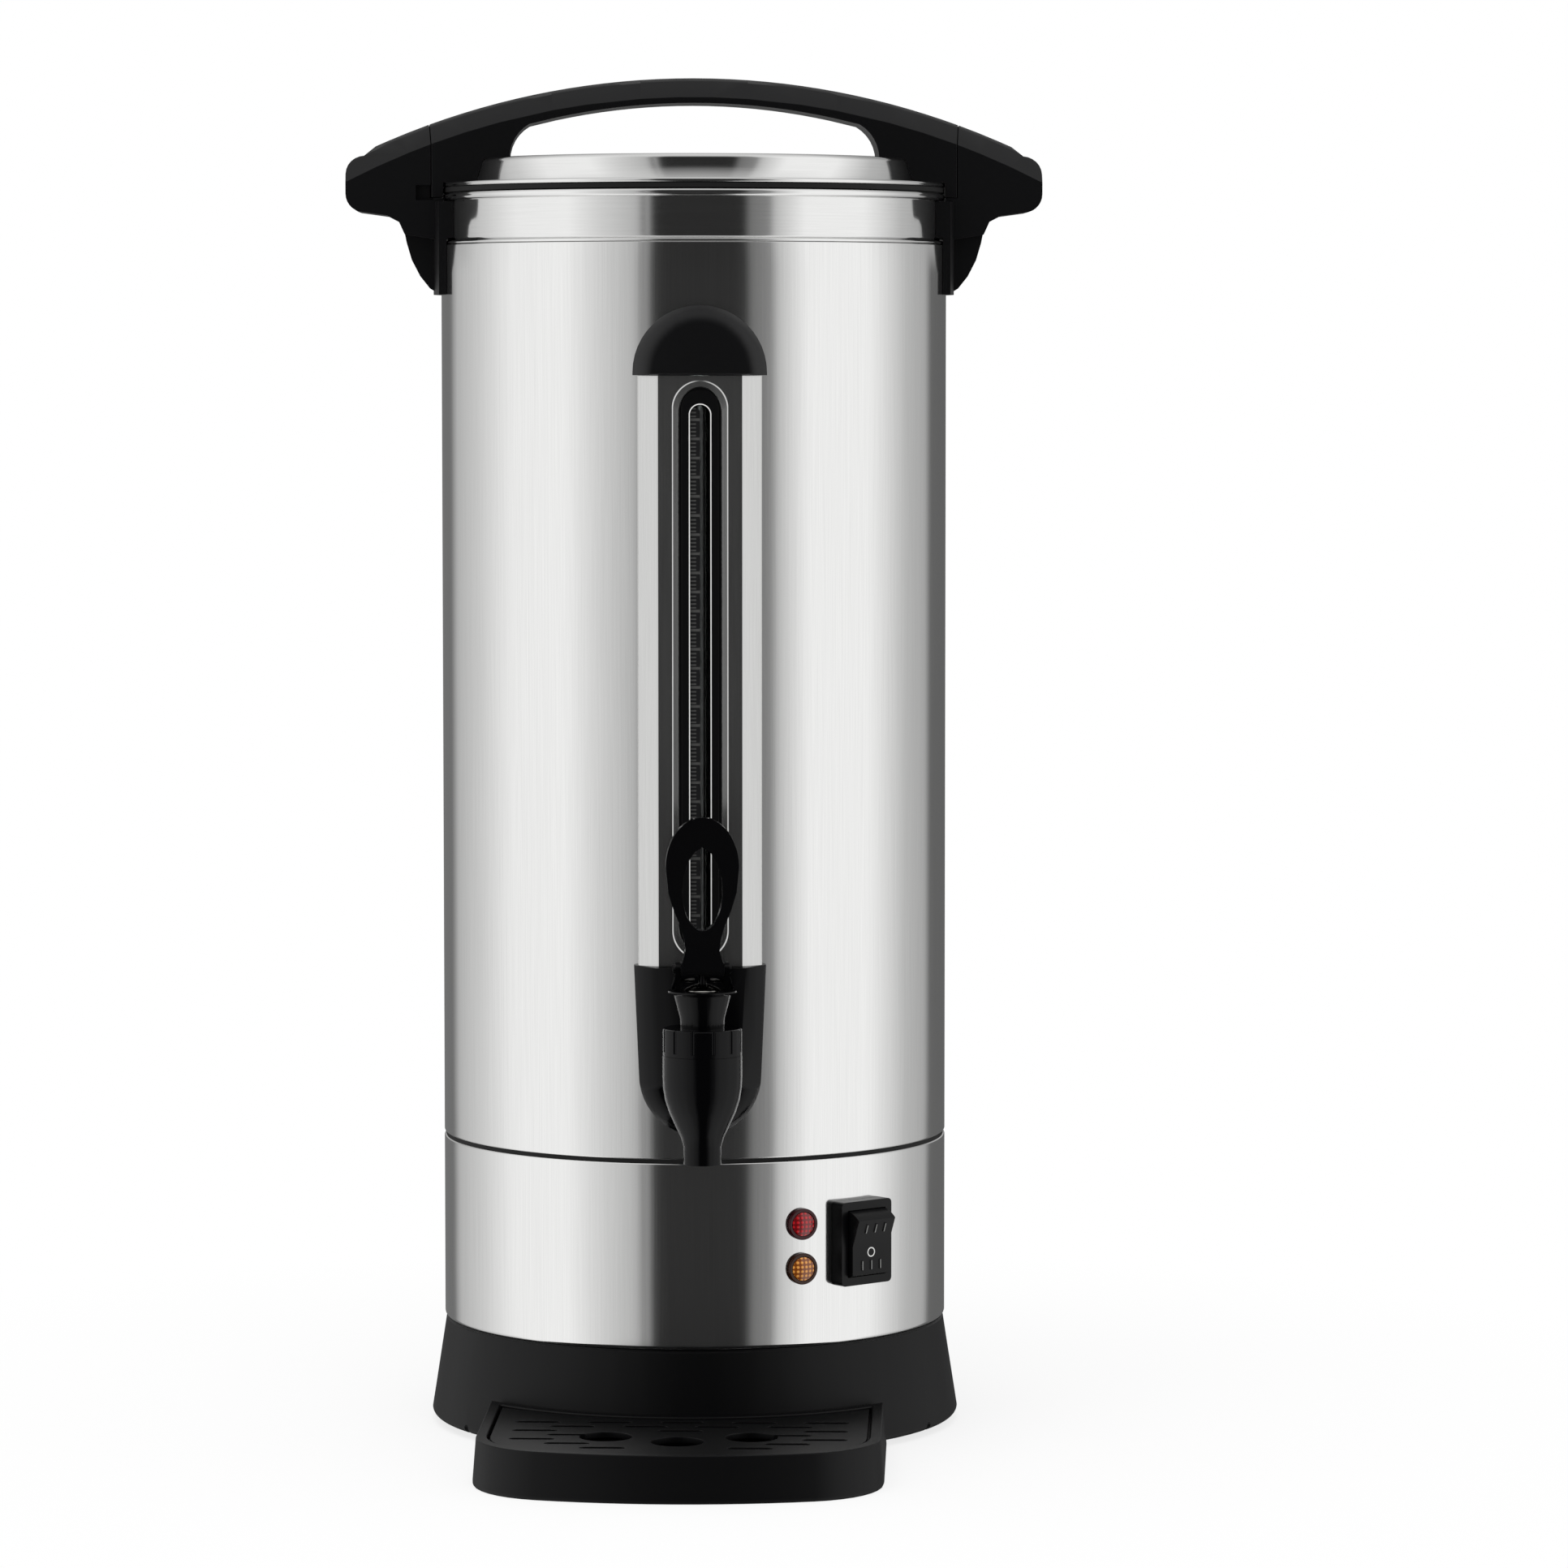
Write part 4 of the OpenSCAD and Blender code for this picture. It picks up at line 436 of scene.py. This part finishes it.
def turned(name, points, steps=256):
    """A piece spun on a lathe about Z, from a closed outline of radius and height in mm."""
    obj = outline_wire(name, points, lambda r, z: Vector((r, 0, z)))
    bpy.ops.mesh.spin(steps=steps, angle=math.tau, center=(0, 0, 0), axis=(0, 0, 1))
    bpy.ops.mesh.select_all(action="SELECT")
    bpy.ops.mesh.remove_doubles(threshold=0.002 * MM)
    close_up()
    shade(obj)
    print(name, len(obj.data.polygons), "faces")
    return obj


def cut(obj, *cutters):
    """Takes the cutters' space out of a piece and deletes them."""
    for cutter in cutters:
        only(obj)
        hole = obj.modifiers.new("cut", "BOOLEAN")
        hole.object = cutter
        hole.operation = "DIFFERENCE"
        hole.solver = "EXACT"
        bpy.ops.object.modifier_apply(modifier=hole.name)
        bpy.data.objects.remove(cutter, do_unlink=True)
    shade(obj)


def wall_spot(turn, out, height):
    """A place in metres, from a turn round the body, a distance out and a height, both in mm."""
    return (out * math.sin(turn) * MM, -out * math.cos(turn) * MM, height * MM)


def rod_cutter(radius, length, turn, out, height):
    """A rod through the wall of the body: out is its middle's distance from the axis, in mm."""
    bpy.ops.object.select_all(action="DESELECT")
    bpy.ops.mesh.primitive_cylinder_add(vertices=64, radius=radius * MM, depth=length * MM,
                                        location=wall_spot(turn, out, height),
                                        rotation=(math.pi / 2, 0, turn))
    return bpy.context.object


def box_cutter(size, turn, out, height):
    """A box through the wall of the body, of width, depth and height in mm."""
    bpy.ops.object.select_all(action="DESELECT")
    bpy.ops.mesh.primitive_cube_add(size=1, location=wall_spot(turn, out, height),
                                    rotation=(0, 0, turn), scale=tuple(s * MM for s in size))
    return bpy.context.object


def join(obj, *others):
    """Joins other pieces into one, and shades it again."""
    only(obj)
    for other in others:
        other.select_set(True)
    bpy.ops.object.join()
    shade(obj)


# %% [markdown]
# The upper shell and the control band are 1 mm sheet with their edges rolled in. Extra rings above
# and below the holes keep the faces round the holes small, so the reflections above them stay
# straight.

# %% Upper shell
BODY_R = 110.0
SHEET = 1.0
INSIDE_R = BODY_R - SHEET
HEM = 0.8
SHELL_Z = 128.0
SHELL_LIP_R = 103.2
SHELL_RINGS = (150, 180, 500)
SHOULDER_Z = 515.0
SHOULDER_ROUND = 0.3
SHANK_Z = 165.0
SHANK_HOLE_R = 7.5
SHANK_CUT = 12

shell = turned("upper_shell", [(SHELL_LIP_R, SHELL_Z)]
               + arc(BODY_R - HEM, SHELL_Z + HEM, HEM, 270, 360)
               + [(BODY_R, z) for z in SHELL_RINGS]
               + arc(BODY_R - SHOULDER_ROUND, SHOULDER_Z - SHOULDER_ROUND, SHOULDER_ROUND, 0, 90, 3)
               + [(INSIDE_R, SHOULDER_Z)] + [(INSIDE_R, z) for z in reversed(SHELL_RINGS)]
               + [(INSIDE_R, SHELL_Z + SHEET), (SHELL_LIP_R, SHELL_Z + SHEET)])
cut(shell, rod_cutter(SHANK_HOLE_R, SHANK_CUT, 0, BODY_R - 1, SHANK_Z))
stand_for(shell, "outer_shell")

# %% Control band
BAND_Z = 46.4
BAND_FOOT = 2
BAND_LIP_R = 100
BAND_RINGS = (72, 108)
SEAM_Z = 126.4
SWITCH_TURN = math.radians(38.1)
SWITCH_HOLE = (24.4, 20, 32)
LAMP_HOLE_R = 5.1
LAMP_CUT = 15
INLET_Z = 88.4
INLET_HOLE = (27.4, 20, 20.4)

band = turned("lower_band", arc(BODY_R - BAND_FOOT, BAND_Z + BAND_FOOT, BAND_FOOT, 270, 360)
              + [(BODY_R, z) for z in BAND_RINGS]
              + arc(BODY_R - HEM, SEAM_Z - HEM, HEM, 0, 90)
              + [(BAND_LIP_R, SEAM_Z), (BAND_LIP_R, SEAM_Z - SHEET), (INSIDE_R, SEAM_Z - SHEET)]
              + [(INSIDE_R, z) for z in reversed(BAND_RINGS)]
              + arc(BODY_R - BAND_FOOT, BAND_Z + BAND_FOOT, BAND_FOOT - 1, 360, 270, 4))
cut(band, box_cutter(SWITCH_HOLE, SWITCH_TURN, BODY_R + 2, PANEL_Z),
    rod_cutter(LAMP_HOLE_R, LAMP_CUT, LAMP_TURN, BODY_R - 2, PANEL_Z + LAMP_PITCH / 2),
    rod_cutter(LAMP_HOLE_R, LAMP_CUT, LAMP_TURN, BODY_R - 2, PANEL_Z - LAMP_PITCH / 2),
    box_cutter(INLET_HOLE, math.pi, BODY_R, INLET_Z))
stand_for(band, "control_band")

# %% [markdown]
# The tank is one drawn pressing: a floor with a well for the heater, a straight wall, then a flare
# and a collar that shows above the shell, ending in a rolled rim. A fold in it rests on the shell's
# edge. Three lugs inside the collar hold the lid's tabs.

# %% Tank and collar
TANK_R = 102.0
TANK_WALL_Z = 300
TANK_CORNER = 6
TANK_HOLE_R = 6.7
NECK_R = 107.0
FLOOR_Z = 136.0
WELL_Z = 126.0
WELL_R = 32.0
WELL_CORNER = 1.5
RIM_MID_R = 107.9
RIM_MID_Z = 535.7
RIM_ROLL = 1.8
LUG_LOW = 532.5
LUG_HIGH = 534.1
LUG_START = 90
LUG_SPAN = 24
LID_LIP_R = 103.2


def ring_part(inner, outer, low, high, start, span, count=3):
    """Blocks on a ring: a face is spun through a span in degrees, and repeated round the axis."""
    made = []
    for k in range(count):
        turn = math.radians(start + 360 * k / count)
        middle, half = (inner + outer) / 2 * MM, (outer - inner) / 2
        spot = (middle * math.cos(turn), middle * math.sin(turn), (low + high) / 2 * MM)
        bpy.ops.object.select_all(action="DESELECT")
        bpy.ops.mesh.primitive_plane_add(size=1, location=spot, rotation=(math.pi / 2, 0, turn))
        obj = bpy.context.object
        obj.scale = (2 * half * MM, (high - low) * MM, 1)
        bpy.ops.object.transform_apply(location=True, rotation=True, scale=True)
        bpy.ops.object.mode_set(mode="EDIT")
        bpy.ops.mesh.select_all(action="SELECT")
        bpy.ops.mesh.spin(steps=12, angle=math.radians(span), center=(0, 0, 0), axis=(0, 0, 1))
        close_up()
        made.append(obj)
    return made


tank_outside = ([(0, WELL_Z), (WELL_R - WELL_CORNER, WELL_Z)]
                + arc(WELL_R - WELL_CORNER, WELL_Z + WELL_CORNER, WELL_CORNER, 270, 360, 4)
                + [(WELL_R, FLOOR_Z)]
                + arc(TANK_R - TANK_CORNER, FLOOR_Z + TANK_CORNER, TANK_CORNER, 270, 360)
                + [(TANK_R, TANK_WALL_Z), (TANK_R, SHOULDER_Z - 5)])
collar = ([(TANK_R + 2, SHOULDER_Z - 1.6), (NECK_R - 0.2, SHOULDER_Z + 0.1)]
          + arc(BODY_R - 1.05, SHOULDER_Z + 0.85, 0.75, 270, 450, 8)
          + arc(NECK_R + 1.2, SHOULDER_Z + 2.8, 1.2, 270, 180, 6)
          + arc(RIM_MID_R, RIM_MID_Z, RIM_ROLL, -120, 180, 20)
          + [(NECK_R - SHEET, SHOULDER_Z + 0.4), (TANK_R + 1.2, SHOULDER_Z - 1.6)])
tank_inside = ([(TANK_R - SHEET, SHOULDER_Z - 5.4), (TANK_R - SHEET, TANK_WALL_Z)]
               + arc(TANK_R - TANK_CORNER, FLOOR_Z + TANK_CORNER, TANK_CORNER - 1, 360, 270)
               + [(WELL_R - SHEET, FLOOR_Z + SHEET), (WELL_R - SHEET, WELL_Z + SHEET),
                  (0, WELL_Z + SHEET)])
tank = turned("tank_and_collar", tank_outside + collar + tank_inside)
lugs = ring_part(LID_LIP_R + 0.5, NECK_R - 0.6, LUG_LOW, LUG_HIGH, LUG_START, LUG_SPAN)
cut(tank, rod_cutter(TANK_HOLE_R, SHANK_CUT, 0, TANK_R - 1, SHANK_Z))
join(tank, *lugs)
stand_for(tank, "inner_tank")

# %% [markdown]
# The lid is pressed from one sheet. Its raised middle has a tight edge and a slight crown, and its
# flange ends in a curl, which is the bright line just above the gasket. A lip under it carries
# three tabs.

# %% Lid
LID_Z = 539.7
LID_TOP_Z = 552.3
LID_EDGE_R = 91.1
LID_EDGE = 2.4
LID_MID_R = 45.55
LID_CROWN = [(0, 0.8), (22, 0.75), (LID_MID_R, 0.6), (70, 0.3)]
LID_FOOT_R = 96.5
LID_FLANGE_R = 107.4
LID_CURL_R = 108.6
LID_LIP_Z = LID_Z - 10
TAB_OUT_R = 105.5
TAB_TOP_Z = LID_Z - 8.4
TAB_START = 75
TAB_SPAN = 12

lid = turned("lid_pressing",
             [(r, LID_TOP_Z + crown) for r, crown in LID_CROWN]
             + arc(LID_EDGE_R, LID_TOP_Z - LID_EDGE, LID_EDGE, 90, 0, 10)
             + arc(LID_FOOT_R + 0.7, LID_Z + SHEET + 0.9, 0.9, 210, 270, 5)
             + [(LID_FLANGE_R, LID_Z + SHEET)] + arc(LID_CURL_R, LID_Z + 1, 1.0, 160, -90, 14)
             + [(LID_LIP_R, LID_Z), (LID_LIP_R, LID_LIP_Z), (LID_LIP_R - SHEET, LID_LIP_Z),
                (LID_LIP_R - SHEET, LID_Z), (LID_FOOT_R - SHEET, LID_Z)]
             + arc(LID_EDGE_R, LID_TOP_Z - LID_EDGE, LID_EDGE - SHEET, 0, 90, 8)
             + [(LID_MID_R, LID_TOP_Z - 0.4), (0, LID_TOP_Z - 0.2)])
tabs = ring_part(LID_LIP_R - 0.4, TAB_OUT_R, LID_LIP_Z, TAB_TOP_Z, TAB_START, TAB_SPAN)
join(lid, *tabs)
stand_for(lid, "lid")

# %% [markdown]
# A moulding leaves its tool with softened edges, which catch the light. A copy of the CAD node is
# welded, its flat faces are merged, and a bevel modifier rounds its sharp edges. A weighted normal
# modifier then keeps the flats flat. The gauge's cap and the tap's shield are domed, so their broad
# slopes are shaded as one curve with their fronts, and only their rims are rounded.


# %% Softened copies of CAD nodes
WELD = 0.003
FLAT_WITHIN = 1.2


def copy_of(node, name):
    """A new piece with a copy of a CAD node's mesh."""
    obj = bpy.data.objects.new(name, NODES[node].data.copy())
    bpy.context.scene.collection.objects.link(obj)
    return obj


def refined(node, radius, steps=2, smooth=35, crease=30):
    """A welded copy of a CAD node that stands for it, with edges sharper than a crease in degrees
    rounded by a radius in mm, and shaded smooth up to an angle in degrees."""
    obj = copy_of(node, node + "_soft")
    only(obj)
    bpy.ops.object.mode_set(mode="EDIT")
    bpy.ops.mesh.select_all(action="SELECT")
    bpy.ops.mesh.customdata_custom_splitnormals_clear()
    bpy.ops.mesh.remove_doubles(threshold=WELD * MM)
    bpy.ops.mesh.dissolve_limited(angle_limit=math.radians(FLAT_WITHIN))
    bpy.ops.object.mode_set(mode="OBJECT")
    bevel = obj.modifiers.new("soft edges", "BEVEL")
    bevel.width = radius * MM
    bevel.segments = steps
    bevel.limit_method = "ANGLE"
    bevel.angle_limit = math.radians(crease)
    bevel.miter_outer = "MITER_ARC"
    bpy.ops.object.modifier_apply(modifier=bevel.name)
    shade(obj, smooth)
    weights = obj.modifiers.new("flat faces", "WEIGHTED_NORMAL")
    weights.keep_sharp = True
    bpy.ops.object.modifier_apply(modifier=weights.name)
    stand_for(obj, node)
    print(obj.name, len(obj.data.polygons), "faces")


SOFT = {
    "lid_handle": (1.6, 3), "side_handle_left": (1.2, 3), "side_handle_right": (1.2, 3),
    "base_skirt": (0.8, 2), "drip_tray": (0.9, 3), "drip_grate": (0.35, 2),
    "gauge_window": (0.25, 2), "tap_body": (0.8, 3), "tap_bonnet": (0.7, 3),
    "tap_lever": (1.4, 4), "lamp_bezels": (0.5, 3), "switch_housing": (0.7, 3),
    "power_inlet": (0.6, 3), "rubber_feet": (0.2, 2), "stem_washer": (0.2, 2),
    "inlet_pins": (0.25, 2), "inlet_screws": (0.4, 2),
}
DOMED = ("gauge_cap", "tap_escutcheon")
DOME_EDGE = (0.9, 3)
DOME_CREASE = 62
for node, (radius, steps) in SOFT.items():
    refined(node, radius, steps)
for node in DOMED:
    refined(node, *DOME_EDGE, smooth=DOME_CREASE, crease=DOME_CREASE)
print(len(SOFT) + len(DOMED), "nodes softened")

# %% [markdown]
# The tap's spring stands between the stem's collar and the bonnet's ceiling. Its copy rides on the
# urn's body, so it stays where it is when the stem moves.

# %% Spring that stays on the urn
spring = copy_of("tap_spring", "tap_spring_coil")
stand_for(spring, "tap_spring")
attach(spring, "urn")
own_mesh(spring)

# %% [markdown]
# The gauge cover is folded from brushed sheet: two side flanges, two sloping cheeks and a flat
# front with a long slot. The slot's edge is pressed in: a steep bend, a gentle slope and a second
# steep bend run round it, and the bends catch the light of the room's sides. The section, with the
# sheet's thickness, is drawn as one outline and extruded upwards, and the slot is cut with a
# tapering block.

# %% Gauge cover
GAUGE_LOW = 211.1
GAUGE_TOP = 458.9
GAUGE_FRONT = -120.2
FLANGE_Y = -107.0
CHEEK_X = 26.1
CHEEK_Y = -112.5
FLAT_X = 18.1
FLAT_MID_X = 12.5
SLOT_LOW = 214.3
SLOT_HIGH = 457.0
SLOT_STEPS = [(23.6, -120.2), (22.7, -119.84), (18.5, -119.42), (17.7, -119.05)]
SLOT_SHADE = 18
CUTTER_Y = -122.0
FRONT_THICK = 1.1

half_section = [(CHEEK_X, FLANGE_Y), (CHEEK_X, CHEEK_Y), (CHEEK_X - 0.4, CHEEK_Y - 1.0),
                (FLAT_X + 0.5, GAUGE_FRONT + 0.5), (FLAT_X - 0.5, GAUGE_FRONT),
                (FLAT_MID_X, GAUGE_FRONT)]
section = [(-x, y) for x, y in half_section] + half_section[::-1]
back = [(x * (1 - SHEET / CHEEK_X), y + (0 if y == FLANGE_Y else FRONT_THICK))
        for x, y in reversed(section)]
cover = outline_wire("gauge_cover_folded", section + back, lambda x, y: Vector((x, y, GAUGE_LOW)))
bpy.ops.mesh.select_all(action="SELECT")
bpy.ops.mesh.edge_face_add()
push(z=GAUGE_TOP - GAUGE_LOW)
close_up()


def pick(obj, test):
    """Selects the vertices that pass a test, in edit mode."""
    bpy.ops.object.mode_set(mode="OBJECT")
    for vertex in obj.data.vertices:
        vertex.select = test(vertex.co)
    bpy.ops.object.mode_set(mode="EDIT")


def slot_face(name, width, low, high, y):
    """An upright face with round ends, from a circle whose upper half is moved up; sizes in mm."""
    bpy.ops.object.select_all(action="DESELECT")
    bpy.ops.mesh.primitive_circle_add(vertices=64, radius=width / 2 * MM, fill_type="NGON",
                                      location=(0, y * MM, (low + width / 2) * MM),
                                      rotation=(math.pi / 2, 0, 0))
    obj = bpy.context.object
    obj.name = name
    bpy.ops.object.transform_apply(location=True, rotation=True, scale=True)
    bpy.ops.object.mode_set(mode="EDIT")
    bpy.ops.mesh.select_all(action="DESELECT")
    bpy.ops.mesh.select_mode(type="VERT")
    pick(obj, lambda co: co.z > (low + width / 2 + 0.001) * MM)
    bpy.ops.transform.translate(value=(0, 0, (high - low - width) * MM))
    bpy.ops.mesh.select_all(action="SELECT")
    return obj


def hollow_out(line):
    """Leaves only a line of some width in mm along the edge of a face."""
    bpy.ops.mesh.inset(thickness=line * MM)
    bpy.ops.mesh.delete(type="FACE")
    bpy.ops.mesh.select_all(action="SELECT")


slot_cutter = slot_face("slot_cutter", SLOT_STEPS[0][0], SLOT_LOW, SLOT_HIGH, CUTTER_Y)
push(y=-CUTTER_Y + SLOT_STEPS[0][1])
slot_tall = SLOT_HIGH - SLOT_LOW
for (wide, front_y), (narrow, back_y) in zip(SLOT_STEPS, SLOT_STEPS[1:]):
    push(y=back_y - front_y)
    bpy.ops.transform.resize(value=(narrow / wide, 1, 1 - (wide - narrow) / slot_tall),
                             center_override=(0, back_y * MM, (SLOT_LOW + SLOT_HIGH) / 2 * MM))
    slot_tall -= wide - narrow
push(y=3)
close_up()
cut(cover, slot_cutter)
shade(cover, SLOT_SHADE)
stand_for(cover, "gauge_cover", satin)
print("gauge cover", len(cover.data.polygons), "faces")

# %% Slot's outline in painted highlight, the strip in it and a sheet of painted shade behind the tube
WINDOW_W = 8.9
WINDOW_LOW = 219.0
WINDOW_HIGH = 447.0
OUTLINE_W = 0.45
OUTLINE_Y = -119.92
OUTLINE_GAP = 0.3
OUTLINE_THICK = 0.18
STRIP_W = 4.2
STRIP_Y = -118.35
STRIP_THICK = 0.3
STRIP_MARGIN = 1.5
SHADE_SHEET_W = 20
SHADE_SHEET_Y = -110.95
SHADE_SHEET_THICK = 0.35
SHADE_SHEET_MARGIN = 4

# A white line round the window is a painted highlight: it stands for the light that the slot's edge
# catches.
painted_outline = slot_face("slot_painted_highlight", WINDOW_W + 2 * OUTLINE_GAP, WINDOW_LOW - OUTLINE_GAP,
                      WINDOW_HIGH + OUTLINE_GAP, OUTLINE_Y)
hollow_out(OUTLINE_W)
push(y=-OUTLINE_THICK)
close_up()
finish_with(painted_outline, white_print_and_highlight)
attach(painted_outline, "urn")

strip = slot_face("graduated_strip", STRIP_W, WINDOW_LOW + STRIP_MARGIN,
                  WINDOW_HIGH - STRIP_MARGIN, STRIP_Y)
bpy.ops.transform.translate(value=(-STRIP_W / 2 * MM, 0, 0))
push(y=STRIP_THICK)
close_up()
finish_with(strip, graduated)
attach(strip, "urn")

# A black sheet behind the tube is painted shade: it stands for the shade inside the cover.
shade_sheet = slot_face("tube_painted_shade", SHADE_SHEET_W, GAUGE_LOW + SHADE_SHEET_MARGIN,
                    GAUGE_TOP - SHADE_SHEET_MARGIN, SHADE_SHEET_Y)
push(y=SHADE_SHEET_THICK)
close_up()
finish_with(shade_sheet, base_black)
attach(shade_sheet, "urn")
print("gauge details", sum(len(obj.data.polygons) for obj in (painted_outline, strip, shade_sheet)), "faces")

# %% [markdown]
# The rocker is a gloss black moulding with three short ribs at each end for the fingertip. The
# crowns of the ribs carry a painted highlight, a thin grey line for the light they catch. A white
# printed ring, the usual sign for off, is on the end that is pressed in.

# %% Rocker and its marks
PIVOT_R = 113.0
ROCKER_TIP = math.radians(10)
FACE_OUT = 5.6
RIB_OUT = 6.0
PRINT_THICK = 0.1
OFF_RING_W = 4.2
OFF_RING_LOW = -5.9
OFF_RING_HIGH = -1.7
OFF_RING_LINE = 0.5
RIB_W = 0.4
RIB_LOW = 7.3
RIB_HIGH = 11.2
RIBS_X = (-5, 0, 5)

refined("switch_rocker", 0.35, 2)


def on_rocker(obj, name, material):
    """Carries a piece made about the origin, facing -Y, to the tipped rocker, to ride there."""
    only(obj)
    obj.name = name
    bpy.ops.object.transform_apply(location=True, rotation=True, scale=True)
    obj.rotation_mode = "XYZ"
    obj.rotation_euler = (ROCKER_TIP, 0, SWITCH_TURN)
    obj.location = wall_spot(SWITCH_TURN, PIVOT_R, PANEL_Z)
    bpy.ops.object.transform_apply(location=True, rotation=True, scale=True)
    finish_with(obj, material)
    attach(obj, "rocker")


def print_and_highlight_mark(name, material, width, low, high, x, front, end, hollow=0.0):
    """A thin raised mark on the rocker, used for print and for painted highlights, solid or a
    hollow line, in mm; end is 1 for the upper end of the rocker and -1 for the lower."""
    obj = slot_face(name, width, low, high, -front)
    if hollow:
        hollow_out(hollow)
    push(y=-PRINT_THICK)
    close_up()
    obj.location = (x * MM, 0, 0)
    obj.rotation_euler = (end * ROCKER_TIP, 0, 0)
    on_rocker(obj, name, material)


print_and_highlight_mark("rocker_off_ring", white_print_and_highlight, OFF_RING_W, OFF_RING_LOW, OFF_RING_HIGH, 0, FACE_OUT, -1,
           hollow=OFF_RING_LINE)
# The grey crowns on the ribs are painted highlights.
for rib_x in RIBS_X:
    print_and_highlight_mark("rocker_rib_painted_highlight", rib_highlight_grey, RIB_W, RIB_LOW, RIB_HIGH, rib_x, RIB_OUT, 1)
    print_and_highlight_mark("rocker_rib_painted_highlight", rib_highlight_grey, RIB_W, -RIB_HIGH, -RIB_LOW, rib_x, RIB_OUT, -1)
print("rocker marked")

# %% [markdown]
# The light is a white studio: a broad soft panel each side, a black card in front, dark ends and a
# grey wall behind, which level black tops mirror. Polished and brushed metal shows them as upright
# bands. The world is written by direction, so the bands stay with the room when the view moves.
# Glass and the camera see plain white.

# %% Studio world
# Each panel is a heading in degrees round the room from the front, and the brightness there.
PANELS = [(-180, 0.17), (-148, 0.17), (-139, 0.52), (-115, 0.72), (-92, 1.02), (-62, 1.05),
          (-45, 0.76), (-29, 0.56), (-27, 0.50), (-24.5, 0.18), (-22.5, 0.40), (-20.5, 0.06),
          (-18, 0.024), (22, 0.024), (25, 0.20), (34, 0.26), (37, 0.60), (52, 1.05), (85, 1.05),
          (112, 0.56), (130, 0.45), (136, 0.14), (170, 0.12), (180, 0.15)]
# The back wall and the ceiling have a grey, and each a range of a direction's Y or Z over which it
# fades in.
BACK_WALL = 0.45
WALL_BEHIND = (0.5, 0.8)
WALL_ABOVE = (0.03, 0.1)
CEILING = 0.75
CEILING_ABOVE = (0.58, 0.93)
ROOM_GREY = 0.8
WHITE = 1

world = bpy.data.worlds.new("studio")
bpy.context.scene.world = world
world.use_nodes = True
room = world.node_tree


def grey(value):
    """A plain grey as a colour with full alpha."""
    return value, value, value, 1


def over(base, factor, value):
    """A colour with a plain grey laid over it by a factor."""
    return add(room, "ShaderNodeMix", {7: grey(value)}, {0: factor, 6: base},
               data_type="RGBA").outputs[2]


direction = add(room, "ShaderNodeTexCoord").outputs["Generated"]
parts = add(room, "ShaderNodeSeparateXYZ", links={"Vector": direction}).outputs
front = calc(room, "MULTIPLY", parts["Y"], -1.0)
turn = calc(room, "ARCTAN2", parts["X"], front)
around = rise(room, turn, -math.pi, math.pi)
ramp = add(room, "ShaderNodeValToRGB", links={"Fac": around})
stops = ramp.color_ramp.elements
while len(stops) < len(PANELS):
    stops.new(0.5)
for stop, (angle, value) in zip(stops, PANELS):
    stop.position = (angle + 180) / 360
    stop.color = grey(value)
behind = rise(room, parts["Y"], *WALL_BEHIND)
above = rise(room, parts["Z"], *WALL_ABOVE)
walls = over(ramp.outputs[0], calc(room, "MULTIPLY", behind, above), BACK_WALL)
sky = over(walls, rise(room, parts["Z"], *CEILING_ABOVE), CEILING)
rays = add(room, "ShaderNodeLightPath").outputs
lit = add(room, "ShaderNodeMix", {6: grey(ROOM_GREY)}, {0: rays["Is Glossy Ray"], 7: sky},
          data_type="RGBA").outputs[2]
seen = over(over(lit, rays["Is Transmission Ray"], WHITE), rays["Is Camera Ray"], WHITE)
room.links.new(seen, room.nodes["Background"].inputs["Color"])
print("world with", len(stops), "stops")

# %% Softbox overhead
SOFTBOX_SIZE = (1.8, 1.2)
SOFTBOX_WATTS = 21
SOFTBOX_PLACE = (-0.3, -0.9, 2.2)
SOFTBOX_AIM = Vector((0, 0, 0.3))

softbox = bpy.data.objects.new("Softbox", bpy.data.lights.new("Softbox", "AREA"))
bpy.context.scene.collection.objects.link(softbox)
softbox.data.shape = "RECTANGLE"
softbox.data.size, softbox.data.size_y = SOFTBOX_SIZE
softbox.data.energy = SOFTBOX_WATTS
softbox.location = SOFTBOX_PLACE
softbox.rotation_mode = "QUATERNION"
softbox.rotation_quaternion = (SOFTBOX_AIM - softbox.location).to_track_quat("-Z", "Y")
softbox.visible_glossy = False

# %% [markdown]
# The floor is matt white. It takes a shadow near the urn and fades to a plain glow further out, so
# that it meets the white room without an edge. Mirroring surfaces don't see it.

# %% Floor
FLOOR_SIZE = 8
FADE_START = 0.15
FADE_END = 0.5
GLOW_NEAR = 0.78

bpy.ops.object.select_all(action="DESELECT")
bpy.ops.mesh.primitive_plane_add(size=FLOOR_SIZE)
floor = bpy.context.object
floor.name = "Floor"
floor_material, floor_tree, floor_shader = new_material("matt white floor", Roughness=0.9)
floor_shader.inputs["Base Color"].default_value = linear("#F4F4F4")
floor_coords = add(floor_tree, "ShaderNodeTexCoord").outputs["Object"]
reach = add(floor_tree, "ShaderNodeVectorMath", links={0: floor_coords},
            operation="LENGTH").outputs["Value"]
fade = add(floor_tree, "ShaderNodeMapRange",
           {"From Min": FADE_START, "From Max": FADE_END, "To Min": GLOW_NEAR},
           {"Value": reach}).outputs[0]
glow = add(floor_tree, "ShaderNodeEmission").outputs[0]
surface = add(floor_tree, "ShaderNodeMixShader",
              links={0: fade, 1: floor_shader.outputs[0], 2: glow}).outputs[0]
clear = add(floor_tree, "ShaderNodeBsdfTransparent").outputs[0]
mirrored = add(floor_tree, "ShaderNodeLightPath").outputs["Is Glossy Ray"]
shown = add(floor_tree, "ShaderNodeMixShader", links={0: mirrored, 1: surface, 2: clear}).outputs[0]
floor_tree.links.new(shown, floor_tree.nodes["Material Output"].inputs["Surface"])
finish_with(floor, floor_material)
